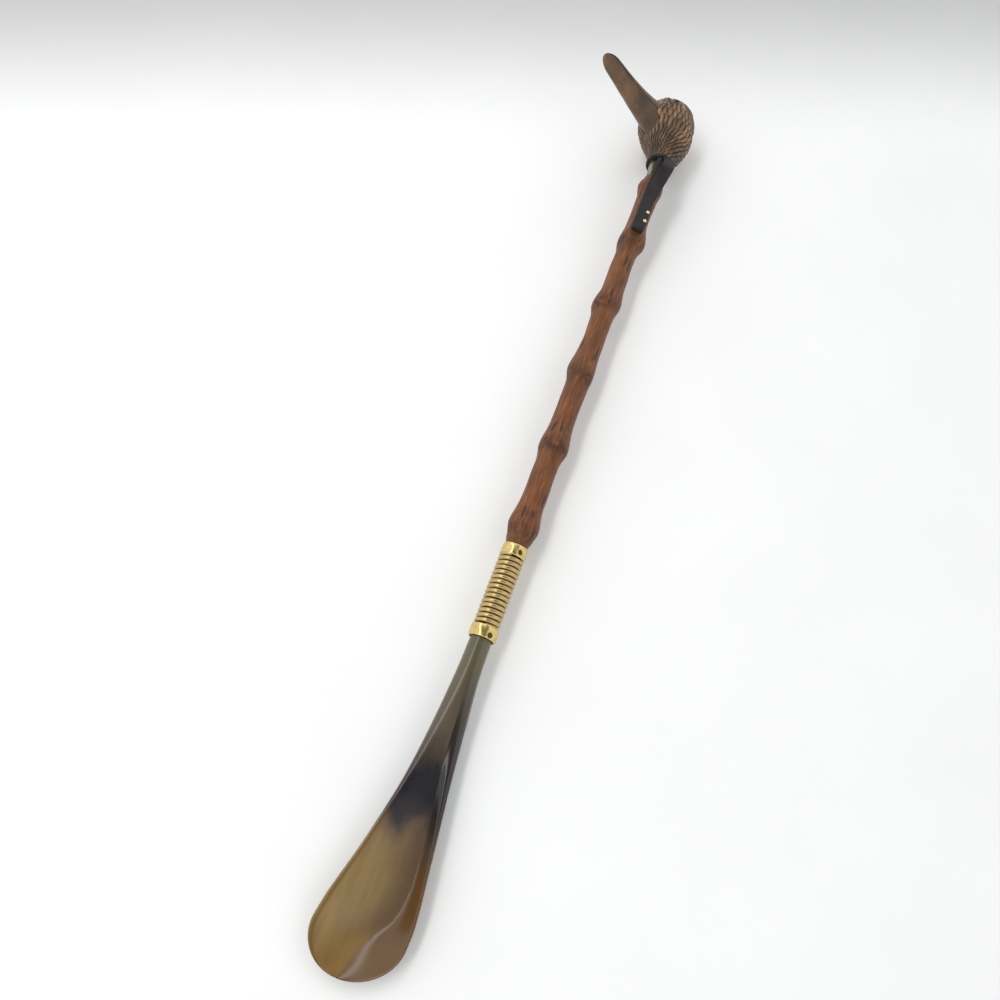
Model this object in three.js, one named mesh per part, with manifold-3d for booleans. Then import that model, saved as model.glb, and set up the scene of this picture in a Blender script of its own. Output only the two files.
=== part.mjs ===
// Long-handled horn shoehorn, in millimetres, +Z up.
//
// The shaft axis runs along +Y, from the blade's tip to the bird's-head grip. The blade's trough opens
// upwards, and the whole lies on the plane z = 0, on the belly of the blade and the back of the head.
// Every piece is drawn about the shaft axis (x = 0, z = 0) with y counted from the blade's tip, and the
// finished group is then moved so that the middle of its box's underside is the origin.

import * as THREE from "three";
import { mergeVertices } from "three/addons/utils/BufferGeometryUtils.js";
import Module from "manifold-3d";

const wasm = await Module();
wasm.setup();

// ---------------------------------------------------------------- driving dimensions

// Room left between two pieces that touch, and round a screwed or glued-in stud.
const GAP = 0.3;
const BORE_CLEARANCE = 0.4;

// Horn blade: a spoon that narrows and closes into a round neck.
const BLADE_LENGTH = 176.8;
const BLADE_WIDTH = 47.4;
const BLADE_BELLY_DEPTH = 11;
const BLADE_TROUGH_DEPTH = 8.4;
const BLADE_HEEL_DROP = 9;
const BLADE_TIP_DROP = 3.5;
const BLADE_SWEEP = 8.6;
const BLADE_SWEEP_POWER = 3.6;
const BLADE_ROUND_END = 21;
const BLADE_TIP_HOLLOW_SHARE = 0.86;
const BLADE_TIP_RIM_SHARE = 0.45;
const BLADE_HEEL_SHARE = 0.15;
const BLADE_NECK_RADIUS = 6.35;
const TANG_RADIUS = 4.2;
const TANG_LENGTH = 25;

// Brass joint: a thin sleeve under a wire whipping, with a plain band at each end.
const JOINT_LENGTH = 59.2;
const BAND_LENGTH = 7.8;
const LOWER_BAND_RADIUS = 8.2;
const UPPER_BAND_RADIUS = 7.8;
const BAND_MOUTH_WALL = 1;
const BAND_MOUTH_DEPTH = 3.4;
const BAND_ROUNDING = 0.9;
const SLEEVE_WALL = 0.5;
const WIRE_RADIUS = 1.2;
const WIRE_TURNS = 15;

// Wooden shaft, turned like a cane; the shares say how far along it each knuckle stands.
const SHAFT_LENGTH = 315;
const SHAFT_RADIUS = 7.5;
const KNUCKLE_RADIUS = 9.5;
const KNUCKLE_HALF_LENGTH = 9;
const KNUCKLE_SHARES = [0.043, 0.225, 0.413, 0.603, 0.792, 0.967];
const TENON_LENGTH = 31;
const SPIGOT_RADIUS = 4.9;
const SHAFT_TOP_RADIUS = 7.6;

// Collar, and the studs that hold the three lengths together.
const COLLAR_LENGTH = 16;
const COLLAR_RADIUS = 7.8;
const COLLAR_LOW_RADIUS = 6.3;
const BLADE_STUD_RADIUS = 1.6;
const BLADE_STUD_LENGTH = 38;
const HEAD_STUD_RADIUS = 2.5;
const HEAD_STUD_LENGTH = 46;

// Bird's head: neck, skull and a flat bill that stands square to the shaft and tilts up to one side.
const NECK_RADIUS = 10.4;
const NECK_TO_SKULL = 35.5;
const SKULL_SHIFT = 5;
const SKULL_RADIUS = 20;
const SKULL_CROWN = 25.5;
const BILL_LENGTH = 75.5;
const BILL_WIDTH = 26;
const BILL_TIP_WIDTH = 14.5;
const BILL_ROOT_TOP = 24;
const BILL_TIP_TOP = 4;
const BILL_HOLLOW = 12;
const BILL_ROOT_BOTTOM = -15;
const BILL_TIP_BOTTOM = -0.5;
const BILL_ROUND_SHARE = 0.14;
const BILL_ELEVATION = 41;
const EYE_RADIUS = 1.9;
const EYE_FORWARD = 11;
const EYE_UP = 7;
const EYE_APART = 14.6;

// Leather strap: an eye clamped under the head, and two plies that run down the shaft.
const STRAP_WIDTH = 9.6;
const STRAP_PLY = 2;
const STRAP_LENGTH = 78;
const STRAP_AZIMUTH = 18;
const STRAP_EYE_THICKNESS = 2;
const STRAP_EYE_RADIUS = 9.8;
const STRAP_BOW = 4.4;
const STRAP_PLY_JOIN = 0.1;
const STRAP_LOW_DRIFT = -1.2;
const STRAP_TOP_DRIFT = 2.4;
const STRAP_DOUBLED_SHARE = 0.34;
const NAIL_HEAD_RADIUS = 1.25;
const NAIL_SHANK_RADIUS = 0.5;
const NAIL_SHANK_LENGTH = 9;
const NAIL_OFFSET = 1;
const NAIL_FROM_END = 8;
const NAIL_PITCH = 8.6;

// ---------------------------------------------------------------- places along the shaft

const bladeEnd = BLADE_LENGTH;
const jointEnd = bladeEnd + JOINT_LENGTH;
const shaftEnd = jointEnd + SHAFT_LENGTH;
const collarEnd = shaftEnd + COLLAR_LENGTH;
const eyeEnd = collarEnd + GAP + STRAP_EYE_THICKNESS;
const headStart = eyeEnd + GAP;
const skullCentre = collarEnd + NECK_TO_SKULL;

const sleeveInner = TANG_RADIUS + GAP;
const sleeveOuter = sleeveInner + SLEEVE_WALL;
const wireCentre = sleeveOuter + GAP + WIRE_RADIUS;

const ROUND_SEGMENTS = 24;
const RING_SEGMENTS = 28;

// ---------------------------------------------------------------- helpers

const radians = THREE.MathUtils.degToRad;
const lerp = THREE.MathUtils.lerp;
const smoothstep = THREE.MathUtils.smoothstep;

// Keeps only position, merges shared vertices and drops the slivers at poles.
function weld(geometry) {
  const bare = geometry.clone();
  for (const name of Object.keys(bare.attributes)) {
    if (name !== "position") bare.deleteAttribute(name);
  }
  const merged = mergeVertices(bare, 1e-4);
  const index = Array.from(merged.index.array);
  const kept = [];
  for (let i = 0; i < index.length; i += 3) {
    const [a, b, c] = index.slice(i, i + 3);
    if (a !== b && b !== c && c !== a) kept.push(a, b, c);
  }
  merged.setIndex(kept);
  return merged;
}

function toSolid(geometry) {
  const merged = weld(geometry);
  const mesh = new wasm.Mesh({
    numProp: 3,
    vertProperties: new Float32Array(merged.attributes.position.array),
    triVerts: new Uint32Array(merged.index.array),
  });
  return new wasm.Manifold(mesh);
}

function toGeometry(solid) {
  const mesh = solid.getMesh();
  const geometry = new THREE.BufferGeometry();
  geometry.setAttribute("position", new THREE.BufferAttribute(mesh.vertProperties, 3));
  geometry.setIndex(new THREE.BufferAttribute(mesh.triVerts, 1));
  geometry.computeVertexNormals();
  return geometry;
}

function cut(geometry, ...tools) {
  const solid = tools.reduce((rest, tool) => rest.subtract(toSolid(tool)), toSolid(geometry));
  return toGeometry(solid);
}

function join(...geometries) {
  const [first, ...others] = geometries.map(toSolid);
  return toGeometry(others.reduce((whole, other) => whole.add(other), first));
}

// A turned piece about the shaft axis; the outline is [radius, y] pairs, from low y to high y outside.
function turned(outline, segments = ROUND_SEGMENTS) {
  const points = outline.map(([radius, y]) => new THREE.Vector2(radius, y));
  return new THREE.LatheGeometry(points, segments);
}

// A plain round bar or drill along the shaft axis.
function bar(radius, start, end, segments = ROUND_SEGMENTS) {
  const outline = [[0, start], [radius, start], [radius, end], [0, end]];
  return turned(outline, segments);
}

// A body through rings that all have the same number of points, closed by a fan at each end.
function loft(rings) {
  const count = rings[0].length;
  const positions = rings.flat().flatMap((p) => [p.x, p.y, p.z]);
  const index = [];
  for (let i = 0; i + 1 < rings.length; i += 1) {
    for (let j = 0; j < count; j += 1) {
      const a = i * count + j;
      const b = i * count + ((j + 1) % count);
      index.push(a, b, a + count, b, b + count, a + count);
    }
  }
  const ends = [rings[0], rings[rings.length - 1]];
  ends.forEach((ring, side) => {
    const middle = ring.reduce((sum, p) => sum.add(p), new THREE.Vector3()).divideScalar(count);
    const hub = positions.length / 3;
    positions.push(middle.x, middle.y, middle.z);
    const start = side === 0 ? 0 : (rings.length - 1) * count;
    for (let j = 0; j < count; j += 1) {
      const a = start + j;
      const b = start + ((j + 1) % count);
      if (side === 0) index.push(hub, b, a);
      else index.push(hub, a, b);
    }
  });
  const geometry = new THREE.BufferGeometry();
  geometry.setAttribute("position", new THREE.Float32BufferAttribute(positions, 3));
  geometry.setIndex(index);
  return outward(geometry);
}

// Turns a closed body the right way out, judged by its signed volume.
function outward(geometry) {
  const p = geometry.attributes.position;
  const index = Array.from(geometry.index.array);
  const [a, b, c] = [new THREE.Vector3(), new THREE.Vector3(), new THREE.Vector3()];
  let volume = 0;
  for (let i = 0; i < index.length; i += 3) {
    a.fromBufferAttribute(p, index[i]);
    b.fromBufferAttribute(p, index[i + 1]);
    c.fromBufferAttribute(p, index[i + 2]);
    volume += a.dot(b.cross(c));
  }
  if (volume < 0) {
    for (let i = 0; i < index.length; i += 3) {
      [index[i], index[i + 1]] = [index[i + 1], index[i]];
    }
    geometry.setIndex(index);
  }
  geometry.computeVertexNormals();
  return geometry;
}

function named(name, geometry, color, roughness, metalness) {
  const material = new THREE.MeshStandardMaterial({ color, roughness, metalness });
  const mesh = new THREE.Mesh(geometry, material);
  mesh.name = name;
  return mesh;
}

// ---------------------------------------------------------------- horn blade

// How far the blade has opened from the round neck (0) to the full spoon (1), going towards the tip.
const OPENING = new THREE.SplineCurve([
  new THREE.Vector2(0, 1),
  new THREE.Vector2(0.06, 0.96),
  new THREE.Vector2(0.185, 0.75),
  new THREE.Vector2(0.38, 0.46),
  new THREE.Vector2(0.57, 0.26),
  new THREE.Vector2(0.82, 0.09),
  new THREE.Vector2(1, 0),
]);

// One section of the blade: half width, belly and trough depth below the rim, and the rim's height.
function bladeSection(share) {
  const roundShare = 0.14;
  const full = BLADE_WIDTH / 2;
  const tipHollow = BLADE_TIP_HOLLOW_SHARE;
  const rimAtTip = -BLADE_TIP_DROP;
  const rimAtHeel = BLADE_BELLY_DEPTH - BLADE_HEEL_DROP;
  if (share < roundShare) {
    const turn = (share / roundShare) * (Math.PI / 2);
    const spread = Math.sin(turn);
    return {
      y: BLADE_ROUND_END * (1 - Math.cos(turn)),
      halfWidth: full * spread,
      belly: BLADE_BELLY_DEPTH * tipHollow * spread ** 1.2,
      trough: BLADE_TROUGH_DEPTH * tipHollow * spread ** 2,
      rim: lerp(rimAtTip, rimAtHeel, BLADE_TIP_RIM_SHARE * (1 - Math.cos(turn))),
      hollow: 1,
    };
  }
  const along = (share - roundShare) / (1 - roundShare);
  const { x: u, y: open } = OPENING.getPoint(along);
  const hollow = smoothstep(open, 0.02, 0.5);
  const heel = smoothstep(u, 0, 0.18);
  const fall = 1 - smoothstep(u, 0.12, 0.92);
  return {
    y: lerp(BLADE_ROUND_END, BLADE_LENGTH, u),
    halfWidth: lerp(BLADE_NECK_RADIUS, full, open),
    belly: lerp(BLADE_NECK_RADIUS, BLADE_BELLY_DEPTH * lerp(tipHollow, 1, heel), hollow),
    trough: lerp(-BLADE_NECK_RADIUS, BLADE_TROUGH_DEPTH * lerp(tipHollow, 1, heel), hollow),
    rim: lerp(lerp(rimAtTip, rimAtHeel, BLADE_TIP_RIM_SHARE), rimAtHeel, heel) * fall,
    hollow,
  };
}

// The section's outline: the rim at each side, the belly a fuller arc than the trough. The blade
// leaves the shaft's line sideways towards its tip, as the horn it was cut from does.
function bladeRing({ y, halfWidth, belly, trough, rim, hollow }) {
  const count = RING_SEGMENTS;
  const sideways = -BLADE_SWEEP * Math.max(1 - y / BLADE_LENGTH, 0) ** BLADE_SWEEP_POWER;
  const bellyPower = lerp(1, 1.2, hollow);
  const troughPower = lerp(1, 2, hollow);
  return Array.from({ length: count }, (_, i) => {
    const angle = (i / count) * Math.PI * 2;
    const rise = Math.sin(angle);
    const upper = rim - trough * Math.abs(rise) ** troughPower;
    const lower = rim - belly * Math.abs(rise) ** bellyPower;
    return new THREE.Vector3(sideways + halfWidth * Math.cos(angle), y, rise >= 0 ? upper : lower);
  });
}

function hornBlade() {
  const stations = 40;
  const first = 0.012;
  const rings = Array.from({ length: stations + 1 }, (_, i) =>
    bladeRing(bladeSection(lerp(first, 1, i / stations))));
  const neckEnd = bladeEnd + BAND_MOUTH_DEPTH - GAP;
  const neck = bar(BLADE_NECK_RADIUS, bladeEnd - 1, neckEnd, RING_SEGMENTS);
  const tang = bar(TANG_RADIUS, neckEnd - 1, neckEnd + TANG_LENGTH);
  const bore = bar(BLADE_STUD_RADIUS + BORE_CLEARANCE, bladeEnd - 1, neckEnd + TANG_LENGTH + 1);
  return named("horn_blade", cut(join(loft(rings), neck, tang), bore), 0x7d6a48, 0.22, 0);
}

// ---------------------------------------------------------------- brass joint

// A band round the joint; its open mouth faces away from the whipping.
function band(radius, mouthY, direction) {
  const at = (distance) => mouthY + direction * distance;
  const steps = 3;
  const mouthInner = radius - BAND_MOUTH_WALL;
  const inner = sleeveOuter + GAP;
  const outline = [[inner, at(BAND_MOUTH_DEPTH)], [mouthInner, at(BAND_MOUTH_DEPTH)], [mouthInner, at(0)]];
  for (let i = 0; i <= steps; i += 1) {
    const angle = (i / steps) * (Math.PI / 2);
    const in_ = BAND_ROUNDING * (1 - Math.sin(angle));
    outline.push([radius - in_, at(BAND_ROUNDING * (1 - Math.cos(angle)))]);
  }
  for (let i = steps; i >= 0; i -= 1) {
    const angle = (i / steps) * (Math.PI / 2);
    const in_ = BAND_ROUNDING * (1 - Math.sin(angle));
    outline.push([radius - in_, at(BAND_LENGTH - BAND_ROUNDING * (1 - Math.cos(angle)))]);
  }
  outline.push([inner, at(BAND_LENGTH)], [inner, at(BAND_MOUTH_DEPTH)]);
  return outward(weld(turned(outline)));
}

class Helix extends THREE.Curve {
  constructor(radius, turns, start, end) {
    super();
    Object.assign(this, { radius, turns, start, end });
  }

  getPoint(t, target = new THREE.Vector3()) {
    const angle = t * this.turns * Math.PI * 2;
    const y = lerp(this.start, this.end, t);
    return target.set(this.radius * Math.sin(angle), y, this.radius * Math.cos(angle));
  }
}

function whippingWire() {
  const stepsPerTurn = 16;
  const reach = BAND_LENGTH + GAP + WIRE_RADIUS;
  const path = new Helix(wireCentre, WIRE_TURNS, bladeEnd + reach, jointEnd - reach);
  const section = new THREE.Shape();
  const sides = 6;
  for (let i = 0; i < sides; i += 1) {
    const angle = (i / sides) * Math.PI * 2;
    const [x, y] = [WIRE_RADIUS * Math.cos(angle), WIRE_RADIUS * Math.sin(angle)];
    if (i === 0) section.moveTo(x, y);
    else section.lineTo(x, y);
  }
  const geometry = new THREE.ExtrudeGeometry(section, {
    extrudePath: path,
    steps: WIRE_TURNS * stepsPerTurn,
    bevelEnabled: false,
  });
  return named("whipping_wire", outward(weld(geometry)), 0xd9b65c, 0.2, 1);
}

function jointSleeve() {
  const start = bladeEnd + BAND_MOUTH_DEPTH;
  const end = jointEnd - BAND_MOUTH_DEPTH;
  const outline = [
    [sleeveInner, start], [sleeveOuter, start], [sleeveOuter, end], [sleeveInner, end], [sleeveInner, start],
  ];
  return named("joint_sleeve", outward(weld(turned(outline))), 0xc9a24e, 0.35, 1);
}

function brassJoint() {
  const joint = new THREE.Group();
  joint.add(named("lower_band", band(LOWER_BAND_RADIUS, bladeEnd, 1), 0xd9b65c, 0.2, 1));
  joint.add(named("upper_band", band(UPPER_BAND_RADIUS, jointEnd, -1), 0xd9b65c, 0.2, 1));
  joint.add(whippingWire(), jointSleeve());
  return joint;
}

// ---------------------------------------------------------------- wooden shaft

const knuckles = KNUCKLE_SHARES.map((share) => lerp(jointEnd, shaftEnd, share));
const lastKnuckle = knuckles[knuckles.length - 1];

// The shaft's radius at y: its plain radius and a rounded swelling at each knuckle.
function shaftRadius(y) {
  return knuckles.reduce((radius, knuckle) => {
    const away = (y - knuckle) / KNUCKLE_HALF_LENGTH;
    return radius + (KNUCKLE_RADIUS - SHAFT_RADIUS) * Math.exp(-(away ** 2));
  }, SHAFT_RADIUS);
}

function woodShaft() {
  const steps = 66;
  const tenonEnd = jointEnd - TENON_LENGTH;
  const shoulder = jointEnd - BAND_MOUTH_DEPTH + GAP;
  const mouthRadius = UPPER_BAND_RADIUS - BAND_MOUTH_WALL - GAP;
  const spigotEnd = collarEnd - GAP;
  const outline = [[0, tenonEnd], [TANG_RADIUS, tenonEnd], [TANG_RADIUS, shoulder], [mouthRadius, shoulder]];
  outline.push([mouthRadius, jointEnd]);
  for (let i = 0; i <= steps; i += 1) {
    const y = lerp(jointEnd + GAP, shaftEnd, i / steps);
    const intoBand = smoothstep(y, jointEnd, knuckles[0]);
    const intoCollar = smoothstep(shaftEnd - y, 0, shaftEnd - lastKnuckle);
    const full = shaftRadius(y);
    const low = lerp(mouthRadius, full, intoBand);
    outline.push([lerp(SHAFT_TOP_RADIUS, low, intoCollar), y]);
  }
  outline.push([SPIGOT_RADIUS, shaftEnd], [SPIGOT_RADIUS, spigotEnd], [0, spigotEnd]);
  const bladeBore = bar(BLADE_STUD_RADIUS + BORE_CLEARANCE, tenonEnd - 1, bladeStud.end + 1);
  const headBore = bar(HEAD_STUD_RADIUS + BORE_CLEARANCE, headStud.start - 1, spigotEnd + 1);
  const holes = nailPlaces().map((y) => onStrapNormal(
    bar(NAIL_SHANK_RADIUS + GAP, SHAFT_RADIUS - NAIL_SHANK_LENGTH / 2, KNUCKLE_RADIUS + 1, 8), y));
  const body = cut(turned(outline, 20), bladeBore, headBore, ...holes);
  return named("wood_shaft", body, 0x8a5636, 0.42, 0);
}

// ---------------------------------------------------------------- collar and studs

const studMiddle = (bladeEnd + BAND_MOUTH_DEPTH - GAP + TANG_LENGTH + jointEnd - TENON_LENGTH) / 2;
const bladeStud = {
  start: studMiddle - BLADE_STUD_LENGTH / 2,
  end: studMiddle + BLADE_STUD_LENGTH / 2,
};
const headStud = {
  start: collarEnd - HEAD_STUD_LENGTH / 2,
  end: collarEnd + HEAD_STUD_LENGTH / 2,
};

function neckCollar() {
  const inner = SPIGOT_RADIUS + GAP;
  const start = shaftEnd + GAP;
  const outline = [
    [inner, start], [COLLAR_LOW_RADIUS, start], [COLLAR_RADIUS, collarEnd], [inner, collarEnd], [inner, start],
  ];
  return named("neck_collar", outward(weld(turned(outline))), 0xb4ad9b, 0.3, 1);
}

function studs() {
  const group = new THREE.Group();
  const steel = [0x8d9094, 0.4, 1];
  group.add(named("blade_stud", bar(BLADE_STUD_RADIUS, bladeStud.start, bladeStud.end, 16), ...steel));
  group.add(named("head_stud", bar(HEAD_STUD_RADIUS, headStud.start, headStud.end, 16), ...steel));
  return group;
}

// ---------------------------------------------------------------- bird's head

// Directions in the head: along the bill, up out of the crown (the shaft axis), and across the head.
const tilt = radians(BILL_ELEVATION);
const billWay = new THREE.Vector3(-Math.cos(tilt), 0, Math.sin(tilt));
const crownWay = new THREE.Vector3(0, 1, 0);
const acrossWay = new THREE.Vector3().crossVectors(crownWay, billWay);
const skullPoint = new THREE.Vector3(0, skullCentre, 0).addScaledVector(billWay, SKULL_SHIFT);

function headPoint(along, up, across) {
  return skullPoint.clone()
    .addScaledVector(billWay, along)
    .addScaledVector(crownWay, up)
    .addScaledVector(acrossWay, across);
}

// Neck and skull: round sections that start on the shaft axis and move over towards the bill.
function skull() {
  const steps = 20;
  const count = RING_SEGMENTS;
  const crown = skullCentre + SKULL_CROWN;
  const rings = Array.from({ length: steps + 1 }, (_, i) => {
    const y = lerp(headStart, crown - 0.3, Math.sin((i / steps) * (Math.PI / 2)));
    const above = Math.max(y - skullCentre, 0) / SKULL_CROWN;
    const swell = smoothstep(y, headStart + 1, skullCentre - 4);
    const radius = lerp(NECK_RADIUS, SKULL_RADIUS, swell) * Math.sqrt(1 - above ** 2);
    const shift = SKULL_SHIFT * smoothstep(y, headStart + 8, skullCentre + 4);
    return Array.from({ length: count }, (__, j) => {
      const angle = (j / count) * Math.PI * 2;
      const up = y - skullCentre;
      return headPoint(shift - SKULL_SHIFT + radius * Math.cos(angle), up, radius * Math.sin(angle));
    });
  });
  return loft(rings);
}

// The bill: elliptical sections that flatten and round off towards the tip, with a hollow top line.
function bill() {
  const stations = 16;
  const count = 20;
  const rings = Array.from({ length: stations + 1 }, (_, i) => {
    const t = i / stations;
    const along = lerp(0, BILL_LENGTH, Math.sin((t * Math.PI) / 2));
    const share = along / BILL_LENGTH;
    const intoTip = Math.max((share - 1) / BILL_ROUND_SHARE + 1, 0);
    const tipRound = Math.sqrt(Math.max(1 - intoTip ** 2, 0.004));
    const hollow = BILL_HOLLOW * Math.sin(Math.PI * share ** 0.6);
    const top = lerp(BILL_ROOT_TOP, BILL_TIP_TOP, share) - hollow;
    const bottom = lerp(BILL_ROOT_BOTTOM, BILL_TIP_BOTTOM, share ** 1.1);
    const halfWidth = (lerp(BILL_TIP_WIDTH, BILL_WIDTH, (1 - share) ** 1.8) / 2) * tipRound;
    const halfDepth = ((top - bottom) / 2) * tipRound;
    return Array.from({ length: count }, (__, j) => {
      const angle = (j / count) * Math.PI * 2;
      const up = (top + bottom) / 2 + halfDepth * Math.sin(angle);
      return headPoint(along, up, halfWidth * Math.cos(angle));
    });
  });
  return loft(rings);
}

const eyePlace = (side) => headPoint(EYE_FORWARD, EYE_UP, side * EYE_APART);

function birdHead() {
  const bore = bar(HEAD_STUD_RADIUS + BORE_CLEARANCE, headStart - 1, headStud.end + 1);
  const sockets = [-1, 1].map((side) => {
    const socket = new THREE.SphereGeometry(EYE_RADIUS + GAP, 16, 10);
    socket.translate(...eyePlace(side).toArray());
    return socket;
  });
  return named("bird_head", cut(join(skull(), bill()), bore, ...sockets), 0x8f6f48, 0.55, 0);
}

function eyes() {
  const pair = new THREE.Group();
  [["eye_near", 1], ["eye_far", -1]].forEach(([name, side]) => {
    const eye = named(name, new THREE.SphereGeometry(EYE_RADIUS, 16, 10), 0x15100c, 0.1, 0);
    eye.position.copy(eyePlace(side));
    pair.add(eye);
  });
  return pair;
}

// ---------------------------------------------------------------- strap and its nails

const strapTurn = radians(STRAP_AZIMUTH);
const strapOut = new THREE.Vector3(Math.sin(strapTurn), 0, Math.cos(strapTurn));
const strapSide = new THREE.Vector3(Math.cos(strapTurn), 0, -Math.sin(strapTurn));
const strapEnd = eyeEnd - STRAP_LENGTH;
const doubledEnd = strapEnd + STRAP_LENGTH * STRAP_DOUBLED_SHARE;

// The doubled run lies flat, so it stands as far out as the thickest part of the shaft under it.
const doubledRun = Array.from({ length: 25 }, (_, i) => lerp(strapEnd, doubledEnd, i / 24));
const strapSeat = Math.max(...doubledRun.map(shaftRadius)) + GAP;

function strapPoint(y, out, side) {
  return new THREE.Vector3(0, y, 0).addScaledVector(strapOut, out).addScaledVector(strapSide, side);
}

// Lays a piece drawn along +Y from the axis so that it stands on the strap's middle at y, pointing out.
function onStrapNormal(geometry, y) {
  const basis = new THREE.Matrix4().makeBasis(
    strapSide, strapOut, new THREE.Vector3().crossVectors(strapSide, strapOut));
  basis.setPosition(strapPoint(y, 0, NAIL_OFFSET));
  return geometry.clone().applyMatrix4(basis);
}

function nailPlaces() {
  return [0, 1].map((i) => strapEnd + NAIL_FROM_END + i * NAIL_PITCH);
}

// One ply: a flat band through [y, distance out, sideways] places at its middle.
function ply(places) {
  const centres = places.map(([y, out, side]) => strapPoint(y, out, side));
  const rings = centres.map((centre, i) => {
    const before = centres[Math.max(i - 1, 0)];
    const after = centres[Math.min(i + 1, centres.length - 1)];
    const way = new THREE.Vector3().subVectors(after, before).normalize();
    const face = new THREE.Vector3().crossVectors(way, strapSide).normalize();
    return [[-1, -1], [1, -1], [1, 1], [-1, 1]].map(([across, through]) => centre.clone()
      .addScaledVector(strapSide, (across * STRAP_WIDTH) / 2)
      .addScaledVector(face, (through * STRAP_PLY) / 2));
  });
  return loft(rings);
}

// The inner ply lies on the shaft and the collar; the outer ply bows away from it below the head.
function hangingStrap() {
  const onShaft = strapSeat + STRAP_PLY / 2;
  const onKnuckle = KNUCKLE_RADIUS + GAP + STRAP_PLY / 2;
  const onCollar = COLLAR_RADIUS + GAP + STRAP_PLY / 2;
  const eyeMiddle = eyeEnd - STRAP_EYE_THICKNESS / 2;
  const onPly = onShaft + STRAP_PLY - STRAP_PLY_JOIN;
  const inner = [
    [strapEnd, onShaft, STRAP_LOW_DRIFT],
    [doubledEnd, onShaft, STRAP_LOW_DRIFT],
    [lastKnuckle - 7, onKnuckle, -0.6],
    [lastKnuckle + 5, onKnuckle, 0],
    [collarEnd - 8, onCollar + 0.5, 0.4],
    [eyeMiddle, onCollar - 0.2, 0.6],
  ];
  const outer = [
    [strapEnd, onPly, STRAP_LOW_DRIFT],
    [doubledEnd, onPly, STRAP_LOW_DRIFT],
    [lastKnuckle - 7, onKnuckle + STRAP_PLY + 0.4, 0.2],
    [lastKnuckle + 5, onKnuckle + STRAP_PLY + STRAP_BOW * 0.6, 1.4],
    [collarEnd - 13, onCollar + STRAP_PLY + STRAP_BOW, 2],
    [collarEnd - 6, onCollar + STRAP_PLY + STRAP_BOW * 0.8, STRAP_TOP_DRIFT],
    [collarEnd - 1, onCollar + STRAP_PLY + STRAP_BOW * 0.2, STRAP_TOP_DRIFT],
    [eyeMiddle, onCollar + STRAP_PLY * 0.3, STRAP_TOP_DRIFT],
    [eyeMiddle, onCollar - 2, 2.2],
  ];
  const eye = bar(STRAP_EYE_RADIUS, collarEnd + GAP, eyeEnd);
  const eyeHole = bar(HEAD_STUD_RADIUS + BORE_CLEARANCE, collarEnd - 1, eyeEnd + 1);
  const holes = nailPlaces().map((y) =>
    onStrapNormal(bar(NAIL_SHANK_RADIUS + GAP, SHAFT_RADIUS, onKnuckle + STRAP_PLY * 3, 8), y));
  const strap = cut(join(ply(inner), ply(outer), eye), eyeHole, ...holes);
  return named("hanging_strap", strap, 0x2c2628, 0.5, 0);
}

// A round-headed brass nail, drawn along +Y with its head's underside at `seat`.
function nail(seat) {
  const shankEnd = seat - NAIL_SHANK_LENGTH;
  const outline = [[0, shankEnd], [NAIL_SHANK_RADIUS, shankEnd + 1], [NAIL_SHANK_RADIUS, seat]];
  const steps = 4;
  for (let i = 0; i <= steps; i += 1) {
    const angle = (i / steps) * (Math.PI / 2);
    outline.push([NAIL_HEAD_RADIUS * Math.cos(angle), seat + 0.75 * NAIL_HEAD_RADIUS * Math.sin(angle)]);
  }
  return turned(outline, 12);
}

function strapNails() {
  const pair = new THREE.Group();
  const seat = strapSeat + STRAP_PLY * 2 + GAP;
  nailPlaces().forEach((y, i) => {
    const name = i === 0 ? "strap_nail_lower" : "strap_nail_upper";
    pair.add(named(name, onStrapNormal(nail(seat), y), 0xe2cf9a, 0.2, 1));
  });
  return pair;
}

// ---------------------------------------------------------------- the whole shoehorn

// Lying down, the shaft rises a little towards the head, from the blade's heel to the back of the skull.
const heelY = lerp(BLADE_ROUND_END, BLADE_LENGTH, BLADE_HEEL_SHARE);
const skullDrop = SKULL_RADIUS - SKULL_SHIFT * Math.sin(tilt);
const restingTilt = Math.atan2(skullDrop - BLADE_HEEL_DROP, skullCentre - heelY);

const shoehorn = new THREE.Group();
shoehorn.add(hornBlade(), brassJoint(), woodShaft(), neckCollar(), studs());
shoehorn.add(birdHead(), eyes(), hangingStrap(), strapNails());
shoehorn.rotation.x = restingTilt;
shoehorn.updateMatrixWorld(true);
const box = new THREE.Box3().setFromObject(shoehorn, true);
const middle = box.getCenter(new THREE.Vector3());
shoehorn.position.set(-middle.x, -middle.y, -box.min.z);
shoehorn.updateMatrixWorld(true);

export default shoehorn;
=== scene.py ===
"""Looks of a long-handled horn shoehorn: horn blade, brass joint, cane shaft, carved bird's head, strap.

Shapes are worked out in millimetres about the shaft's axis, as (x, s, z): s runs along the axis from
the blade's tip to the head, x goes sideways and z away from the table. ShaftLine places them in the frame.
"""

import logging
import math
from dataclasses import dataclass, field
from enum import Enum
from typing import Sequence

import bpy
import numpy as np
from mathutils import Matrix, Vector


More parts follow.
